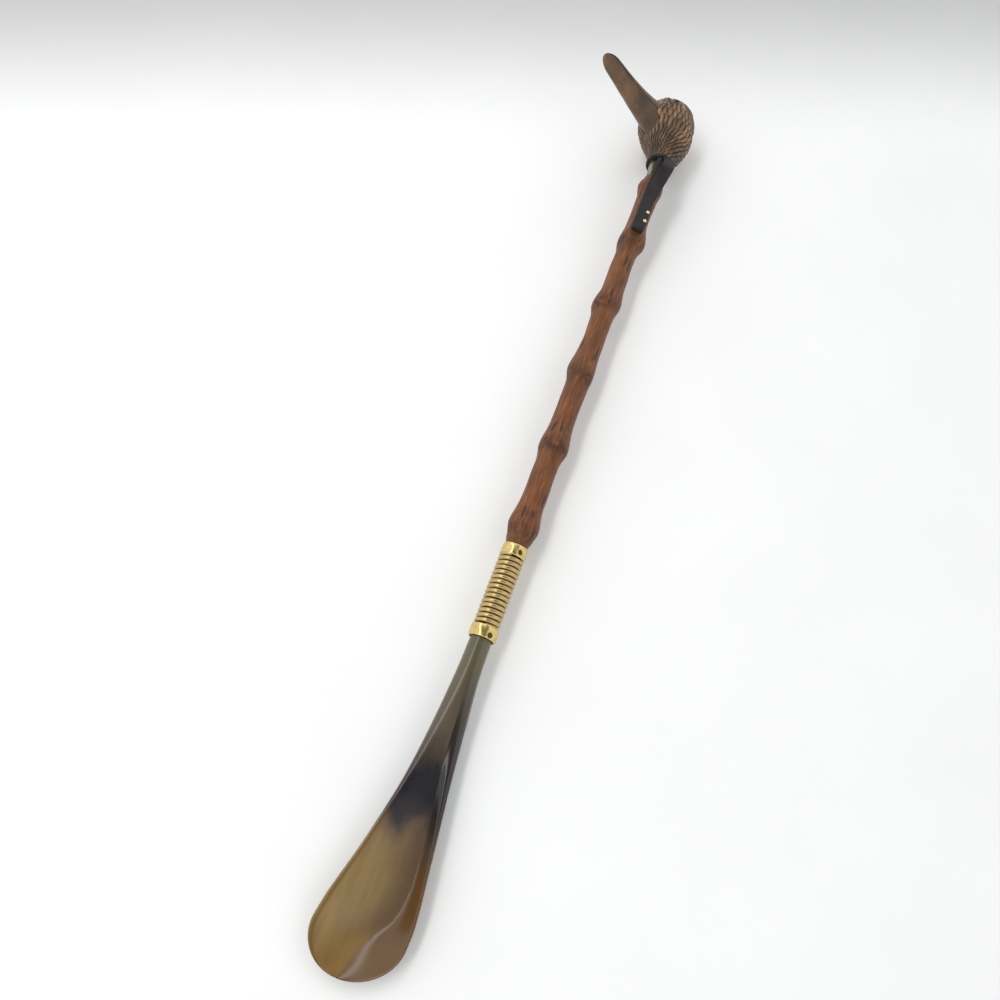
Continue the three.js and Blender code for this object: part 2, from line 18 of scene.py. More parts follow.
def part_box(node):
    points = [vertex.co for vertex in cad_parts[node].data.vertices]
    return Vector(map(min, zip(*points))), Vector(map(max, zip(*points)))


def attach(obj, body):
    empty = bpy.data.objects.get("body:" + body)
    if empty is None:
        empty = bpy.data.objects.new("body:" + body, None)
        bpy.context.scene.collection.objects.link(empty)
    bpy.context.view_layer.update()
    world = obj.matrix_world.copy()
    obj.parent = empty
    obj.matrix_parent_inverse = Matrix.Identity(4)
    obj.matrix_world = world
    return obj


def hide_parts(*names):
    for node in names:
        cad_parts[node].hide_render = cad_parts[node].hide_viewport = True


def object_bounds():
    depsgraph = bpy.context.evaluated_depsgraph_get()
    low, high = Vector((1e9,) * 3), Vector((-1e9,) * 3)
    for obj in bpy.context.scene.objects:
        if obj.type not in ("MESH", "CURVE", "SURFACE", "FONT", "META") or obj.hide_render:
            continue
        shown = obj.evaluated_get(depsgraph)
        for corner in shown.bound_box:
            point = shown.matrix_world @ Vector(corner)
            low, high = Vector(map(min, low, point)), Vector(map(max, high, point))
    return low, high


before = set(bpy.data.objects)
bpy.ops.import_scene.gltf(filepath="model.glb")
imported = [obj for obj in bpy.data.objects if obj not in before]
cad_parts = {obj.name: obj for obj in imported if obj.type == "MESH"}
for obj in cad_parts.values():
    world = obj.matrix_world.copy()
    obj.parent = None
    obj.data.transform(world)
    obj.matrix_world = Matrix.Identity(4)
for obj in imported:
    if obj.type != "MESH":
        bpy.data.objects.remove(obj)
CAD_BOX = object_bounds()

log = logging.getLogger("shoehorn")
Array = np.ndarray
Tree = bpy.types.NodeTree
Node = bpy.types.Node
Socket = bpy.types.NodeSocket

MM = 0.001
TURN = 2 * math.pi
BODY = "root"
LIGHT_REACH_MM = 2


# ---------------------------------------------------------------- numbers

def ease(low: float | Array, high: float | Array, at: Array) -> Array:
    """Rises smoothly from 0 at low to 1 at high, as 3t^2 - 2t^3."""
    t = np.clip((at - low) / (high - low), 0, 1)
    return t * t * (3 - 2 * t)


def mix(a: float | Array, b: float | Array, share: Array) -> Array:
    """Straight mix of a and b."""
    return a + (b - a) * share


def through(stations: Sequence[float], values: Sequence[float], at: Array) -> Array:
    """A smooth curve through values at stations that never overshoots them.

    Each stretch is a cubic whose end slopes are the harmonic mean of the straight slopes beside them.

    Args:
        stations: rising places along the curve.
        values: the curve's value at each station.
        at: places to work it out for.

    Returns:
        The values there, in the shape of at.
    """
    x, y = np.asarray(stations, float), np.asarray(values, float)
    gap = np.diff(x)
    rise = np.diff(y) / gap
    same = rise[:-1] * rise[1:] > 0
    inner = np.where(same, 2 * rise[:-1] * rise[1:] / np.where(same, rise[:-1] + rise[1:], 1), 0)
    slope = np.concatenate([rise[:1], inner, rise[-1:]])
    at = np.asarray(at, float)
    k = np.clip(np.searchsorted(x, at, side="right") - 1, 0, len(gap) - 1)
    t = np.clip((at - x[k]) / gap[k], 0, 1)
    start, end = y[k], y[k + 1]
    cubic = start * (2 * t**3 - 3 * t**2 + 1) + end * (3 * t**2 - 2 * t**3)
    return cubic + gap[k] * (slope[k] * (t**3 - 2 * t**2 + t) + slope[k + 1] * (t**3 - t**2))


def ripple(points: Array, wavelength: float, seed: int, waves: int = 7) -> Array:
    """Soft random unevenness, about -1 to 1: a sum of cosine waves in random directions.

    Args:
        points: places in millimetres, with x, s, z last.
        wavelength: typical length of a wave in millimetres.
        seed: which unevenness.
        waves: how many waves are summed.

    Returns:
        One value for each place.
    """
    rng = np.random.default_rng(seed)
    ways = rng.normal(size=(3, waves))
    ways *= TURN / wavelength * rng.uniform(0.6, 1.5, waves) / np.linalg.norm(ways, axis=0)
    return np.cos(points @ ways + rng.uniform(0, TURN, waves)).sum(axis=-1) / math.sqrt(2 * waves)


def stack(x: Array | float, s: Array | float, z: Array | float) -> Array:
    """Joins x, s and z into one array of places."""
    return np.stack(np.broadcast_arrays(x, s, z), axis=-1).astype(float)


def turns(count: int) -> Array:
    """Angles of count even steps round a full turn, without the closing one."""
    return np.arange(count) * TURN / count


# ---------------------------------------------------------------- surfaces

@dataclass
class Skin:
    """A closed surface: points in millimetres, faces, and one named number for each point."""

    points: Array
    quads: Array
    triangles: Array
    values: dict[str, Array] = field(default_factory=dict)

    def volume(self) -> float:
        """Adds up the signed volumes between the faces and the origin.

        Returns:
            Six times the volume, above zero when the faces point outwards.
        """
        split = np.concatenate([self.quads[:, [0, 1, 2]], self.quads[:, [0, 2, 3]], self.triangles])
        a, b, c = (self.points[split[:, i]] for i in range(3))
        return float((a * np.cross(b, c)).sum())

    def outward(self) -> "Skin":
        """Turns the faces to point outwards.

        Returns:
            The same skin.
        """
        if self.volume() < 0:
            self.quads = self.quads[:, ::-1]
            self.triangles = self.triangles[:, ::-1]
        return self


def lofted(grid: Array, values: dict[str, Array] | None = None, ring: bool = False) -> Skin:
    """A closed skin through a grid of points.

    Every row is a closed loop. The first and last rows are closed by a fan to their middle, or joined
    to each other in a ring.

    Args:
        grid: rows x around x 3, in millimetres.
        values: named rows x around arrays to keep with the points.
        ring: joins the last row to the first.

    Returns:
        The skin, faces outwards.
    """
    rows, around = grid.shape[:2]
    spans = rows if ring else rows - 1
    i = np.arange(spans)[:, None]
    j = np.arange(around)[None, :]
    low, high = i * around, ((i + 1) % rows) * around
    after = (j + 1) % around
    quads = np.stack([low + j, low + after, high + after, high + j], -1).reshape(-1, 4)
    points = grid.reshape(-1, 3)
    kept = {name: value.reshape(-1) for name, value in (values or {}).items()}
    if ring:
        return Skin(points, quads, np.zeros((0, 3), int), kept).outward()
    hubs = np.stack([grid[0].mean(0), grid[-1].mean(0)])
    first, last = rows * around, (rows - 1) * around
    loop, after = np.arange(around), (np.arange(around) + 1) % around
    fans = np.concatenate([
        np.stack([np.full(around, first), after, loop], -1),
        np.stack([np.full(around, first + 1), last + loop, last + after], -1),
    ])
    for name, value in (values or {}).items():
        kept[name] = np.concatenate([kept[name], [value[0].mean(), value[-1].mean()]])
    return Skin(np.concatenate([points, hubs]), quads, fans, kept).outward()


def merged(*skins: Skin) -> Skin:
    """Joins several skins into one piece; a number that a skin lacks is 0 on it.

    Args:
        skins: the skins, each closed by itself.

    Returns:
        One skin that holds them all.
    """
    names = sorted({name for skin in skins for name in skin.values})
    starts = np.cumsum([0] + [len(skin.points) for skin in skins[:-1]])
    values = {
        name: np.concatenate([skin.values.get(name, np.zeros(len(skin.points))) for skin in skins])
        for name in names
    }
    return Skin(
        np.concatenate([skin.points for skin in skins]),
        np.concatenate([skin.quads + start for skin, start in zip(skins, starts)]),
        np.concatenate([skin.triangles + start for skin, start in zip(skins, starts)]),
        values,
    )


def spun(radius: Array, s: Array, around: int) -> Array:
    """Grid of a profile turned about the shaft's axis: rows along the profile, columns round it."""
    angle = turns(around)[None, :]
    return stack(radius[:, None] * np.sin(angle), s[:, None] + 0 * angle, radius[:, None] * np.cos(angle))


def flat_section(q: Array, fullness: Array | float) -> Array:
    """Height, 0 to 1, of a flat bar's rounded section at q: (1 - |q|^fullness)^(1/fullness)."""
    return np.clip(1 - np.abs(q) ** fullness, 0, 1) ** (1 / fullness)


# ---------------------------------------------------------------- the shaft's line

@dataclass(frozen=True)
class ShaftLine:
    """Where the shaft's axis lies in the frame, and where its stretches start and end."""

    start: Array
    along: Array
    up: Array
    blade_end: float
    joint_end: float
    shaft_end: float
    collar_end: float

    @classmethod
    def from_frame(cls) -> "ShaftLine":
        """Reads the axis from the middles of the lower band and the collar, which are turned about it.

        Returns:
            The line, with its stations in millimetres from the blade's tip.
        """
        band, collar = (np.array(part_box(name)) for name in ("lower_band", "neck_collar"))
        tip = np.array(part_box("horn_blade"))[0, 1]
        low, high = band.mean(0), collar.mean(0)
        slope = math.atan2(high[2] - low[2], high[1] - low[1])
        along = np.array([0, math.cos(slope), math.sin(slope)])
        up = np.array([0, -math.sin(slope), math.cos(slope)])
        start = low + along * (tip - low[1]) / along[1]
        start[0] = high[0]

        def station(y: float) -> float:
            """How far along the axis the frame's y lies, in millimetres."""
            return float((y - start[1]) / along[1] / MM)

        top = np.array(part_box("upper_band"))[1, 1]
        return cls(start, along, up, station(band[0, 1]), station(top),
                   station(collar[0, 1]), station(collar[1, 1]))

    def place(self, points: Array) -> Array:
        """Turns (x, s, z) millimetres about the axis into metres in the frame."""
        x, s, z = (points[..., i, None] * MM for i in range(3))
        return self.start + x * np.array([1.0, 0, 0]) + s * self.along + z * self.up

    def piece(self, name: str, skin: Skin, finish: bpy.types.Material, slot: str,
              replaces: Sequence[str] = ()) -> bpy.types.Object:
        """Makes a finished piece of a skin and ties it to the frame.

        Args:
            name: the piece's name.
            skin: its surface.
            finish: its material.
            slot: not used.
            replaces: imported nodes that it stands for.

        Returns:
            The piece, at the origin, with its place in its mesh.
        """
        mesh = bpy.data.meshes.new(name)
        faces = skin.quads.tolist() + skin.triangles.tolist()
        mesh.from_pydata(self.place(skin.points).tolist(), [], faces)
        for label, value in skin.values.items():
            mesh.attributes.new(label, "FLOAT", "POINT").data.foreach_set("value", value.astype(np.float32))
        mesh.polygons.foreach_set("use_smooth", np.ones(len(faces), bool))
        mesh.materials.append(finish)
        mesh.update()
        piece = bpy.data.objects.new(name, mesh)
        bpy.context.scene.collection.objects.link(piece)
        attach(piece, BODY)
        if replaces:
            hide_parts(*replaces)
        log.info("%s: %d faces", name, len(faces))
        return piece


# ---------------------------------------------------------------- finishes

def linear(code: str) -> tuple[float, float, float, float]:
    """Turns an sRGB hex code into linear colour.

    Args:
        code: six hex digits, such as 8a5636.

    Returns:
        Red, green and blue from 0 to 1, and a full alpha.
    """
    channels = [int(code[i:i + 2], 16) / 255 for i in (0, 2, 4)]
    red, green, blue = (c / 12.92 if c <= 0.04045 else ((c + 0.055) / 1.055) ** 2.4 for c in channels)
    return red, green, blue, 1.0


def add(tree: Tree, kind: str, inputs: dict | None = None,
        stops: Sequence[tuple[float, str]] = (), **settings: object) -> Node:
    """Adds a node with its settings, its socket values and the links into it.

    Args:
        tree: the material's node tree.
        kind: the node's type name.
        inputs: socket name or number to a value, or to the socket that feeds it.
        stops: places and sRGB hex colours, for a colour ramp.
        settings: attributes of the node.

    Returns:
        The node.
    """
    node = tree.nodes.new(kind)
    for name, value in settings.items():
        setattr(node, name, value)
    for key, value in (inputs or {}).items():
        if isinstance(value, Socket):
            tree.links.new(value, node.inputs[key])
        else:
            node.inputs[key].default_value = value
    for number, (place, code) in enumerate(stops):
        ramp = node.color_ramp.elements
        stop = ramp[number] if number < len(ramp) else ramp.new(place)
        stop.position, stop.color = place, linear(code)
    return node


@dataclass(frozen=True)
class Finish:
    """A finish: its name, and typical numbers for the shader's own sockets."""

    name: str
    roughness: float = 0.5
    metallic: float = 0.0
    ior: float = 1.5
    coat: float = 0.0
    coat_roughness: float = 0.1
    subsurface: float = 0.0

    def build(self) -> bpy.types.Material:
        """Makes the material and dresses it.

        Returns:
            The material.
        """
        material = bpy.data.materials.new(self.name)
        material.use_nodes = True
        tree = material.node_tree
        tree.nodes.clear()
        shader = add(tree, "ShaderNodeBsdfPrincipled", {
            "Roughness": self.roughness, "Metallic": self.metallic, "Coat Weight": self.coat,
            "Coat Roughness": self.coat_roughness, "Subsurface Weight": self.subsurface,
            "Subsurface Scale": LIGHT_REACH_MM * MM,
        })
        if not self.metallic:
            shader.inputs["IOR"].default_value = self.ior
        add(tree, "ShaderNodeOutputMaterial", {"Surface": shader.outputs[0]})
        self.dress(tree, shader, add(tree, "ShaderNodeTexCoord").outputs["Object"])
        return material

    def dress(self, tree: Tree, shader: Node, coords: Socket) -> None:
        """Adds the finish's pattern; each finish has its own.

        Args:
            tree: the material's node tree.
            shader: its shader.
            coords: places on the piece, in metres.
        """
        raise NotImplementedError


def stretched(tree: Tree, coords: Socket, grain: float) -> Socket:
    """Coordinates in which a pattern is drawn out along the shaft, grain times as long as wide."""
    return add(tree, "ShaderNodeMapping", {"Vector": coords, "Scale": (1, 1 / grain, 1)}).outputs[0]


def per_metre(size_mm: float) -> float:
    """Scale of a pattern whose repeat is size_mm, on coordinates in metres."""
    return 1000 / size_mm


@dataclass(frozen=True)
class PolishedHorn(Finish):
    """Cow horn, cut, pressed and buffed: cloudy bands across it, fine streaks along it, and a wet gloss."""

    tip_y: float = 0.0
    length: float = 176.8 * MM
    push: float = 0.03

    def dress(self, tree: Tree, shader: Node, coords: Socket) -> None:
        """Colour bands by distance from the tip, pushed about by clouds, then toned by the blade's numbers:
        horn tones, and painted shade on the trough's right wall.

        Args:
            tree: the material's node tree.
            shader: its shader.
            coords: places on the piece, in metres.
        """
        clouds = add(tree, "ShaderNodeTexNoise", {
            "Vector": stretched(tree, coords, 1.8), "Scale": per_metre(19), "Detail": 3, "Distortion": 0.8})
        y = add(tree, "ShaderNodeSeparateXYZ", {0: coords}).outputs["Y"]
        pushed = add(tree, "ShaderNodeMath", {
            0: clouds.outputs[0], 1: self.push, 2: y}, operation="MULTIPLY_ADD")
        start = self.tip_y + self.push / 2
        share = add(tree, "ShaderNodeMapRange", {
            0: pushed.outputs[0], "From Min": start, "From Max": start + self.length})
        colour = add(tree, "ShaderNodeValToRGB", {0: share.outputs[0]}, stops=[
            (0.0, "806030"), (0.12, "8a7040"), (0.28, "8a7245"), (0.37, "7d6542"), (0.42, "5f4c3a"),
            (0.455, "2d2829"), (0.52, "191a20"), (0.57, "211f22"), (0.62, "43392f"), (0.72, "5a4f3f"),
            (0.86, "5b523b"), (1.0, "5b543a")]).outputs[0]
        streaks = add(tree, "ShaderNodeTexNoise", {
            "Vector": stretched(tree, coords, 9), "Scale": per_metre(5), "Detail": 4, "Roughness": 0.55})
        shade = add(tree, "ShaderNodeMapRange", {
            0: streaks.outputs[0], "From Min": 0.3, "From Max": 0.7, "To Min": 0.86, "To Max": 1.1})
        colour = add(tree, "ShaderNodeMix", {
            0: 1.0, 6: colour, 7: shade.outputs[0]}, data_type="RGBA", blend_type="MULTIPLY").outputs[2]
        # Horn tones, and painted shade on the trough's right wall: orange-brown near the tip, partly the
        # horn's own tone, and near black further up.
        for name, code in (("rosy", "5a4234"), ("amber", "5c3a0f"), ("dusk", "1e1413")):
            part = add(tree, "ShaderNodeAttribute", attribute_name=name)
            colour = add(tree, "ShaderNodeMix", {
                0: part.outputs["Fac"], 6: colour, 7: linear(code)}, data_type="RGBA").outputs[2]
        tree.links.new(colour, shader.inputs["Base Color"])
        scratches = add(tree, "ShaderNodeTexNoise", {
            "Vector": stretched(tree, coords, 6), "Scale": per_metre(1.4), "Detail": 4})
        bump = add(tree, "ShaderNodeBump", {
            "Strength": 0.15, "Distance": 0.12 * MM, "Height": scratches.outputs[0]})
        tree.links.new(bump.outputs[0], shader.inputs["Normal"])


@dataclass(frozen=True)
class Brass(Finish):
    """Cast or drawn brass, polished and then handled: bright high places, brown in the corners."""

    bright: str = "dcc27e"
    dull: str = "4d4322"
    mottle_mm: float = 2.4

    def dress(self, tree: Tree, shader: Node, coords: Socket) -> None:
        """Tarnish in the hollows and a painted dark reflection, where the attribute marks them, with a
        faint mottle over all.

        Args:
            tree: the material's node tree.
            shader: its shader.
            coords: places on the piece, in metres.
        """
        mottle = add(tree, "ShaderNodeTexNoise", {
            "Vector": coords, "Scale": per_metre(self.mottle_mm), "Detail": 4})
        # The attribute holds the hollows' tarnish and, on the bands, a painted dark reflection.
        soot = add(tree, "ShaderNodeAttribute", attribute_name="soot")
        tarnish = add(tree, "ShaderNodeMapRange", {
            0: mottle.outputs[0], "From Min": 0.45, "From Max": 0.8, "To Min": 0.0, "To Max": 0.35})
        share = add(tree, "ShaderNodeMath", {0: tarnish.outputs[0], 1: soot.outputs["Fac"]},
                    operation="ADD", use_clamp=True)
        colour = add(tree, "ShaderNodeMix", {
            0: share.outputs[0], 6: linear(self.bright), 7: linear(self.dull)}, data_type="RGBA")
        tree.links.new(colour.outputs[2], shader.inputs["Base Color"])
        rough = add(tree, "ShaderNodeMapRange", {
            0: mottle.outputs[0], "From Min": 0.3, "From Max": 0.75,
            "To Min": self.roughness * 0.8, "To Max": self.roughness * 1.5})
        tree.links.new(rough.outputs[0], shader.inputs["Roughness"])
        bump = add(tree, "ShaderNodeBump", {
            "Strength": 0.25, "Distance": 0.08 * MM, "Height": mottle.outputs[0]})
        tree.links.new(bump.outputs[0], shader.inputs["Normal"])


@dataclass(frozen=True)
class VarnishedCane(Finish):
    """Stained cane under worn varnish: long fibres, dark slits along the grain and smudged knuckles."""

    slit: str = "1f110a"
    darkest: float = 0.8

    def dress(self, tree: Tree, shader: Node, coords: Socket) -> None:
        """Fibres from noise drawn out along the shaft, slits from a coarser one, and dark knuckles.

        Args:
            tree: the material's node tree.
            shader: its shader.
            coords: places on the piece, in metres.
        """
        fibres = add(tree, "ShaderNodeTexNoise", {
            "Vector": stretched(tree, coords, 9), "Scale": per_metre(1.5), "Detail": 7, "Roughness": 0.72})
        patches = add(tree, "ShaderNodeTexNoise", {
            "Vector": stretched(tree, coords, 2.5), "Scale": per_metre(11), "Detail": 3})
        wood = add(tree, "ShaderNodeValToRGB", {0: fibres.outputs[0]}, stops=[
            (0.28, "42200a"), (0.43, "683915"), (0.58, "7d4a20"), (0.78, "9a683c")])
        patch = add(tree, "ShaderNodeMapRange", {
            0: patches.outputs[0], "From Min": 0.3, "From Max": 0.7, "To Min": 0.72, "To Max": 1.18})
        toned = add(tree, "ShaderNodeMix", {
            0: 1.0, 6: wood.outputs[0], 7: patch.outputs[0]}, data_type="RGBA", blend_type="MULTIPLY")
        slits = add(tree, "ShaderNodeTexVoronoi", {
            "Vector": stretched(tree, coords, 6), "Scale": per_metre(5), "Randomness": 1.0})
        slit = add(tree, "ShaderNodeMapRange", {
            0: slits.outputs[0], "From Min": 0.16, "From Max": 0.26, "To Min": 1.0, "To Max": 0.0})
        smudge = add(tree, "ShaderNodeAttribute", attribute_name="knuckle")
        mottle = add(tree, "ShaderNodeTexNoise", {
            "Vector": stretched(tree, coords, 1.6), "Scale": per_metre(3.5), "Detail": 4, "Roughness": 0.7})
        broken = add(tree, "ShaderNodeMapRange", {
            0: mottle.outputs[0], "From Min": 0.4, "From Max": 0.54, "To Min": 0.0, "To Max": 1.0})
        cloud = add(tree, "ShaderNodeMath", {
            0: smudge.outputs["Fac"], 1: broken.outputs[0]}, operation="MULTIPLY")
        dark = add(tree, "ShaderNodeMath", {
            0: slit.outputs[0], 1: cloud.outputs[0]}, operation="MAXIMUM", use_clamp=True)
        part = add(tree, "ShaderNodeMath", {0: dark.outputs[0], 1: self.darkest}, operation="MULTIPLY")
        colour = add(tree, "ShaderNodeMix", {
            0: part.outputs[0], 6: toned.outputs[2], 7: linear(self.slit)}, data_type="RGBA")
        tree.links.new(colour.outputs[2], shader.inputs["Base Color"])
        height = add(tree, "ShaderNodeMath", {
            0: fibres.outputs[0], 1: slit.outputs[0]}, operation="SUBTRACT")
        bump = add(tree, "ShaderNodeBump", {
            "Strength": 0.35, "Distance": 0.2 * MM, "Height": height.outputs[0]})
        tree.links.new(bump.outputs[0], shader.inputs["Normal"])


@dataclass(frozen=True)
class TurnedNickel(Finish):
    """Nickel-plated collar, turned and rubbed dull: pale grey, with streaks along it that are partly olive
    wear and partly painted reflections.
    """

    def dress(self, tree: Tree, shader: Node, coords: Socket) -> None:
        """Streaks from noise drawn out along the shaft, from dark to pale: partly olive base metal showing
        through, partly painted light and dark reflections of the room.

        Args:
            tree: the material's node tree.
            shader: its shader.
            coords: places on the piece, in metres.
        """
        # The streaks stand partly for wear and partly for painted reflections, light and dark, that a
        # polished cone shows.
        streaks = add(tree, "ShaderNodeTexNoise", {
            "Vector": stretched(tree, coords, 9), "Scale": per_metre(4), "Detail": 3})
        colour = add(tree, "ShaderNodeValToRGB", {0: streaks.outputs[0]}, stops=[
            (0.42, "2b261b"), (0.5, "5a5444"), (0.58, "928c7c")])
        tree.links.new(colour.outputs[0], shader.inputs["Base Color"])
        bump = add(tree, "ShaderNodeBump", {
            "Strength": 0.1, "Distance": 0.05 * MM, "Height": streaks.outputs[0]})
        tree.links.new(bump.outputs[0], shader.inputs["Normal"])


@dataclass(frozen=True)
class CarvedWood(Finish):
    """Close-grained wood, carved, stained so that the cuts stay dark, and waxed on the high places."""

    rubbed: str = "a3825a"
    high: str = "8a6a42"
    middle: str = "5b4024"
    low: str = "180e08"

    def dress(self, tree: Tree, shader: Node, coords: Socket) -> None:
        """Colour by the carving attribute, from the cuts' dark stain to the rubbed tops.

        Args:
            tree: the material's node tree.
            shader: its shader.
            coords: places on the piece, in metres.
        """
        carved = add(tree, "ShaderNodeAttribute", attribute_name="carving")
        patches = add(tree, "ShaderNodeTexNoise", {"Vector": coords, "Scale": per_metre(9), "Detail": 3})
        grain = add(tree, "ShaderNodeTexNoise", {
            "Vector": stretched(tree, coords, 5), "Scale": per_metre(1.1), "Detail": 5})
        uneven = add(tree, "ShaderNodeMapRange", {
            0: patches.outputs[0], "From Min": 0.3, "From Max": 0.7, "To Min": -0.14, "To Max": 0.12})
        level = add(tree, "ShaderNodeMath", {0: carved.outputs["Fac"], 1: uneven.outputs[0]},
                    operation="ADD", use_clamp=True)
        stain = add(tree, "ShaderNodeValToRGB", {0: level.outputs[0]}, stops=[
            (0.2, self.low), (0.48, self.middle), (0.8, self.high), (1.0, self.rubbed)])
        shade = add(tree, "ShaderNodeMapRange", {
            0: grain.outputs[0], "From Min": 0.3, "From Max": 0.7, "To Min": 0.82, "To Max": 1.12})
        colour = add(tree, "ShaderNodeMix", {
            0: 1.0, 6: stain.outputs[0], 7: shade.outputs[0]}, data_type="RGBA", blend_type="MULTIPLY")
        tree.links.new(colour.outputs[2], shader.inputs["Base Color"])
        bump = add(tree, "ShaderNodeBump", {
            "Strength": 0.3, "Distance": 0.15 * MM, "Height": grain.outputs[0]})
        tree.links.new(bump.outputs[0], shader.inputs["Normal"])


@dataclass(frozen=True)
class SmoothedWood(Finish):
    """The same wood scraped smooth for the bill: tan with brown stain clouds and a low wax shine."""

    mouth: str = "2c1a0e"

    def dress(self, tree: Tree, shader: Node, coords: Socket) -> None:
        """Clouds as wide as the bill, fine grain over them, and stain in the mouth's cut.

        Args:
            tree: the material's node tree.
            shader: its shader.
            coords: places on the piece, in metres.
        """
        clouds = add(tree, "ShaderNodeTexNoise", {
            "Vector": coords, "Scale": per_metre(15), "Detail": 4, "Distortion": 0.5})
        tone = add(tree, "ShaderNodeValToRGB", {0: clouds.outputs[0]}, stops=[
            (0.3, "38260f"), (0.45, "4d341a"), (0.6, "614325"), (0.75, "775730")])
        grain = add(tree, "ShaderNodeTexNoise", {"Vector": coords, "Scale": per_metre(1.3), "Detail": 5})
        shade = add(tree, "ShaderNodeMapRange", {
            0: grain.outputs[0], "From Min": 0.3, "From Max": 0.7, "To Min": 0.88, "To Max": 1.1})
        toned = add(tree, "ShaderNodeMix", {
            0: 1.0, 6: tone.outputs[0], 7: shade.outputs[0]}, data_type="RGBA", blend_type="MULTIPLY")
        cut = add(tree, "ShaderNodeAttribute", attribute_name="cut")
        colour = add(tree, "ShaderNodeMix", {
            0: cut.outputs["Fac"], 6: toned.outputs[2], 7: linear(self.mouth)}, data_type="RGBA")
        tree.links.new(colour.outputs[2], shader.inputs["Base Color"])
        bump = add(tree, "ShaderNodeBump", {
            "Strength": 0.18, "Distance": 0.12 * MM, "Height": grain.outputs[0]})
        tree.links.new(bump.outputs[0], shader.inputs["Normal"])


@dataclass(frozen=True)
class BridleLeather(Finish):
    """Black-brown strap leather: a pebbled grain, greyed where it is rubbed, and burnished edges."""

    def dress(self, tree: Tree, shader: Node, coords: Socket) -> None:
        """Pebbles of about a millimetre in bump, and slow grey wear in colour and roughness.

        Args:
            tree: the material's node tree.
            shader: its shader.
            coords: places on the piece, in metres.
        """
        wear = add(tree, "ShaderNodeTexNoise", {"Vector": coords, "Scale": per_metre(7), "Detail": 4})
        pebbles = add(tree, "ShaderNodeTexVoronoi", {"Vector": coords, "Scale": per_metre(0.9)})
        colour = add(tree, "ShaderNodeValToRGB", {0: wear.outputs[0]}, stops=[
            (0.3, "100c0c"), (0.5, "1b1515"), (0.72, "2d2525")])
        tree.links.new(colour.outputs[0], shader.inputs["Base Color"])
        rough = add(tree, "ShaderNodeMapRange", {
            0: wear.outputs[0], "From Min": 0.3, "From Max": 0.7, "To Min": 0.42, "To Max": 0.6})
        tree.links.new(rough.outputs[0], shader.inputs["Roughness"])
        bump = add(tree, "ShaderNodeBump", {
            "Strength": 0.35, "Distance": 0.12 * MM, "Height": pebbles.outputs[0]})
        tree.links.new(bump.outputs[0], shader.inputs["Normal"])


@dataclass(frozen=True)
class JetBead(Finish):
    """Pressed black glass: nearly black with a faint brown cloud and a sharp gloss."""

    def dress(self, tree: Tree, shader: Node, coords: Socket) -> None:
        """A faint cloud in a near-black brown.

        Args:
            tree: the material's node tree.
            shader: its shader.
            coords: places on the piece, in metres.
        """
        cloud = add(tree, "ShaderNodeTexNoise", {"Vector": coords, "Scale": per_metre(1.5), "Detail": 2})
        colour = add(tree, "ShaderNodeValToRGB", {0: cloud.outputs[0]}, stops=[
            (0.3, "0a0807"), (0.7, "1d1612")])
        tree.links.new(colour.outputs[0], shader.inputs["Base Color"])


@dataclass(frozen=True)
class PlainSteel(Finish):
    """Bright drawn steel bar: fine lines along it."""

    def dress(self, tree: Tree, shader: Node, coords: Socket) -> None:
        """Drawing lines along the bar in colour and bump.

        Args:
            tree: the material's node tree.
            shader: its shader.
            coords: places on the piece, in metres.
        """
        lines = add(tree, "ShaderNodeTexNoise", {
            "Vector": stretched(tree, coords, 20), "Scale": per_metre(0.8), "Detail": 3})
        colour = add(tree, "ShaderNodeValToRGB", {0: lines.outputs[0]}, stops=[
            (0.3, "6f7275"), (0.7, "a4a7a9")])
        tree.links.new(colour.outputs[0], shader.inputs["Base Color"])
        bump = add(tree, "ShaderNodeBump", {
            "Strength": 0.2, "Distance": 0.03 * MM, "Height": lines.outputs[0]})
        tree.links.new(bump.outputs[0], shader.inputs["Normal"])


@dataclass(frozen=True)
class MattPaper(Finish):
    """White backdrop paper: matt, with the faintest tooth."""

    falloff_way: tuple = (-0.34, 0.94, 0.0)
    falloff_start: float = 0.27
    falloff_end: float = 0.5
    painted_falloff_shade: float = 0.6

    def dress(self, tree: Tree, shader: Node, coords: Socket) -> None:
        """Almost even white with a very slow cloud, and painted shade that greys the sheet where it runs
        off past the head, standing for the light falling off there.

        Args:
            tree: the material's node tree.
            shader: its shader.
            coords: places on the piece, in metres.
        """
        cloud = add(tree, "ShaderNodeTexNoise", {"Vector": coords, "Scale": per_metre(90), "Detail": 3})
        colour = add(tree, "ShaderNodeValToRGB", {0: cloud.outputs[0]}, stops=[
            (0.3, "f9f9f7"), (0.7, "fcfcfa")])
        # Painted shade: the sheet greys beyond the head, for the light falling off there.
        away = add(tree, "ShaderNodeVectorMath", {0: coords, 1: self.falloff_way}, operation="DOT_PRODUCT")
        far = add(tree, "ShaderNodeMapRange", {
            0: away.outputs["Value"], "From Min": self.falloff_start, "From Max": self.falloff_end,
            "To Min": 1.0, "To Max": self.painted_falloff_shade}, interpolation_type="SMOOTHSTEP")
        shade = add(tree, "ShaderNodeMix", {
            0: 1.0, 6: colour.outputs[0], 7: far.outputs[0]}, data_type="RGBA", blend_type="MULTIPLY")
        tree.links.new(shade.outputs[2], shader.inputs["Base Color"])


# ---------------------------------------------------------------- horn blade

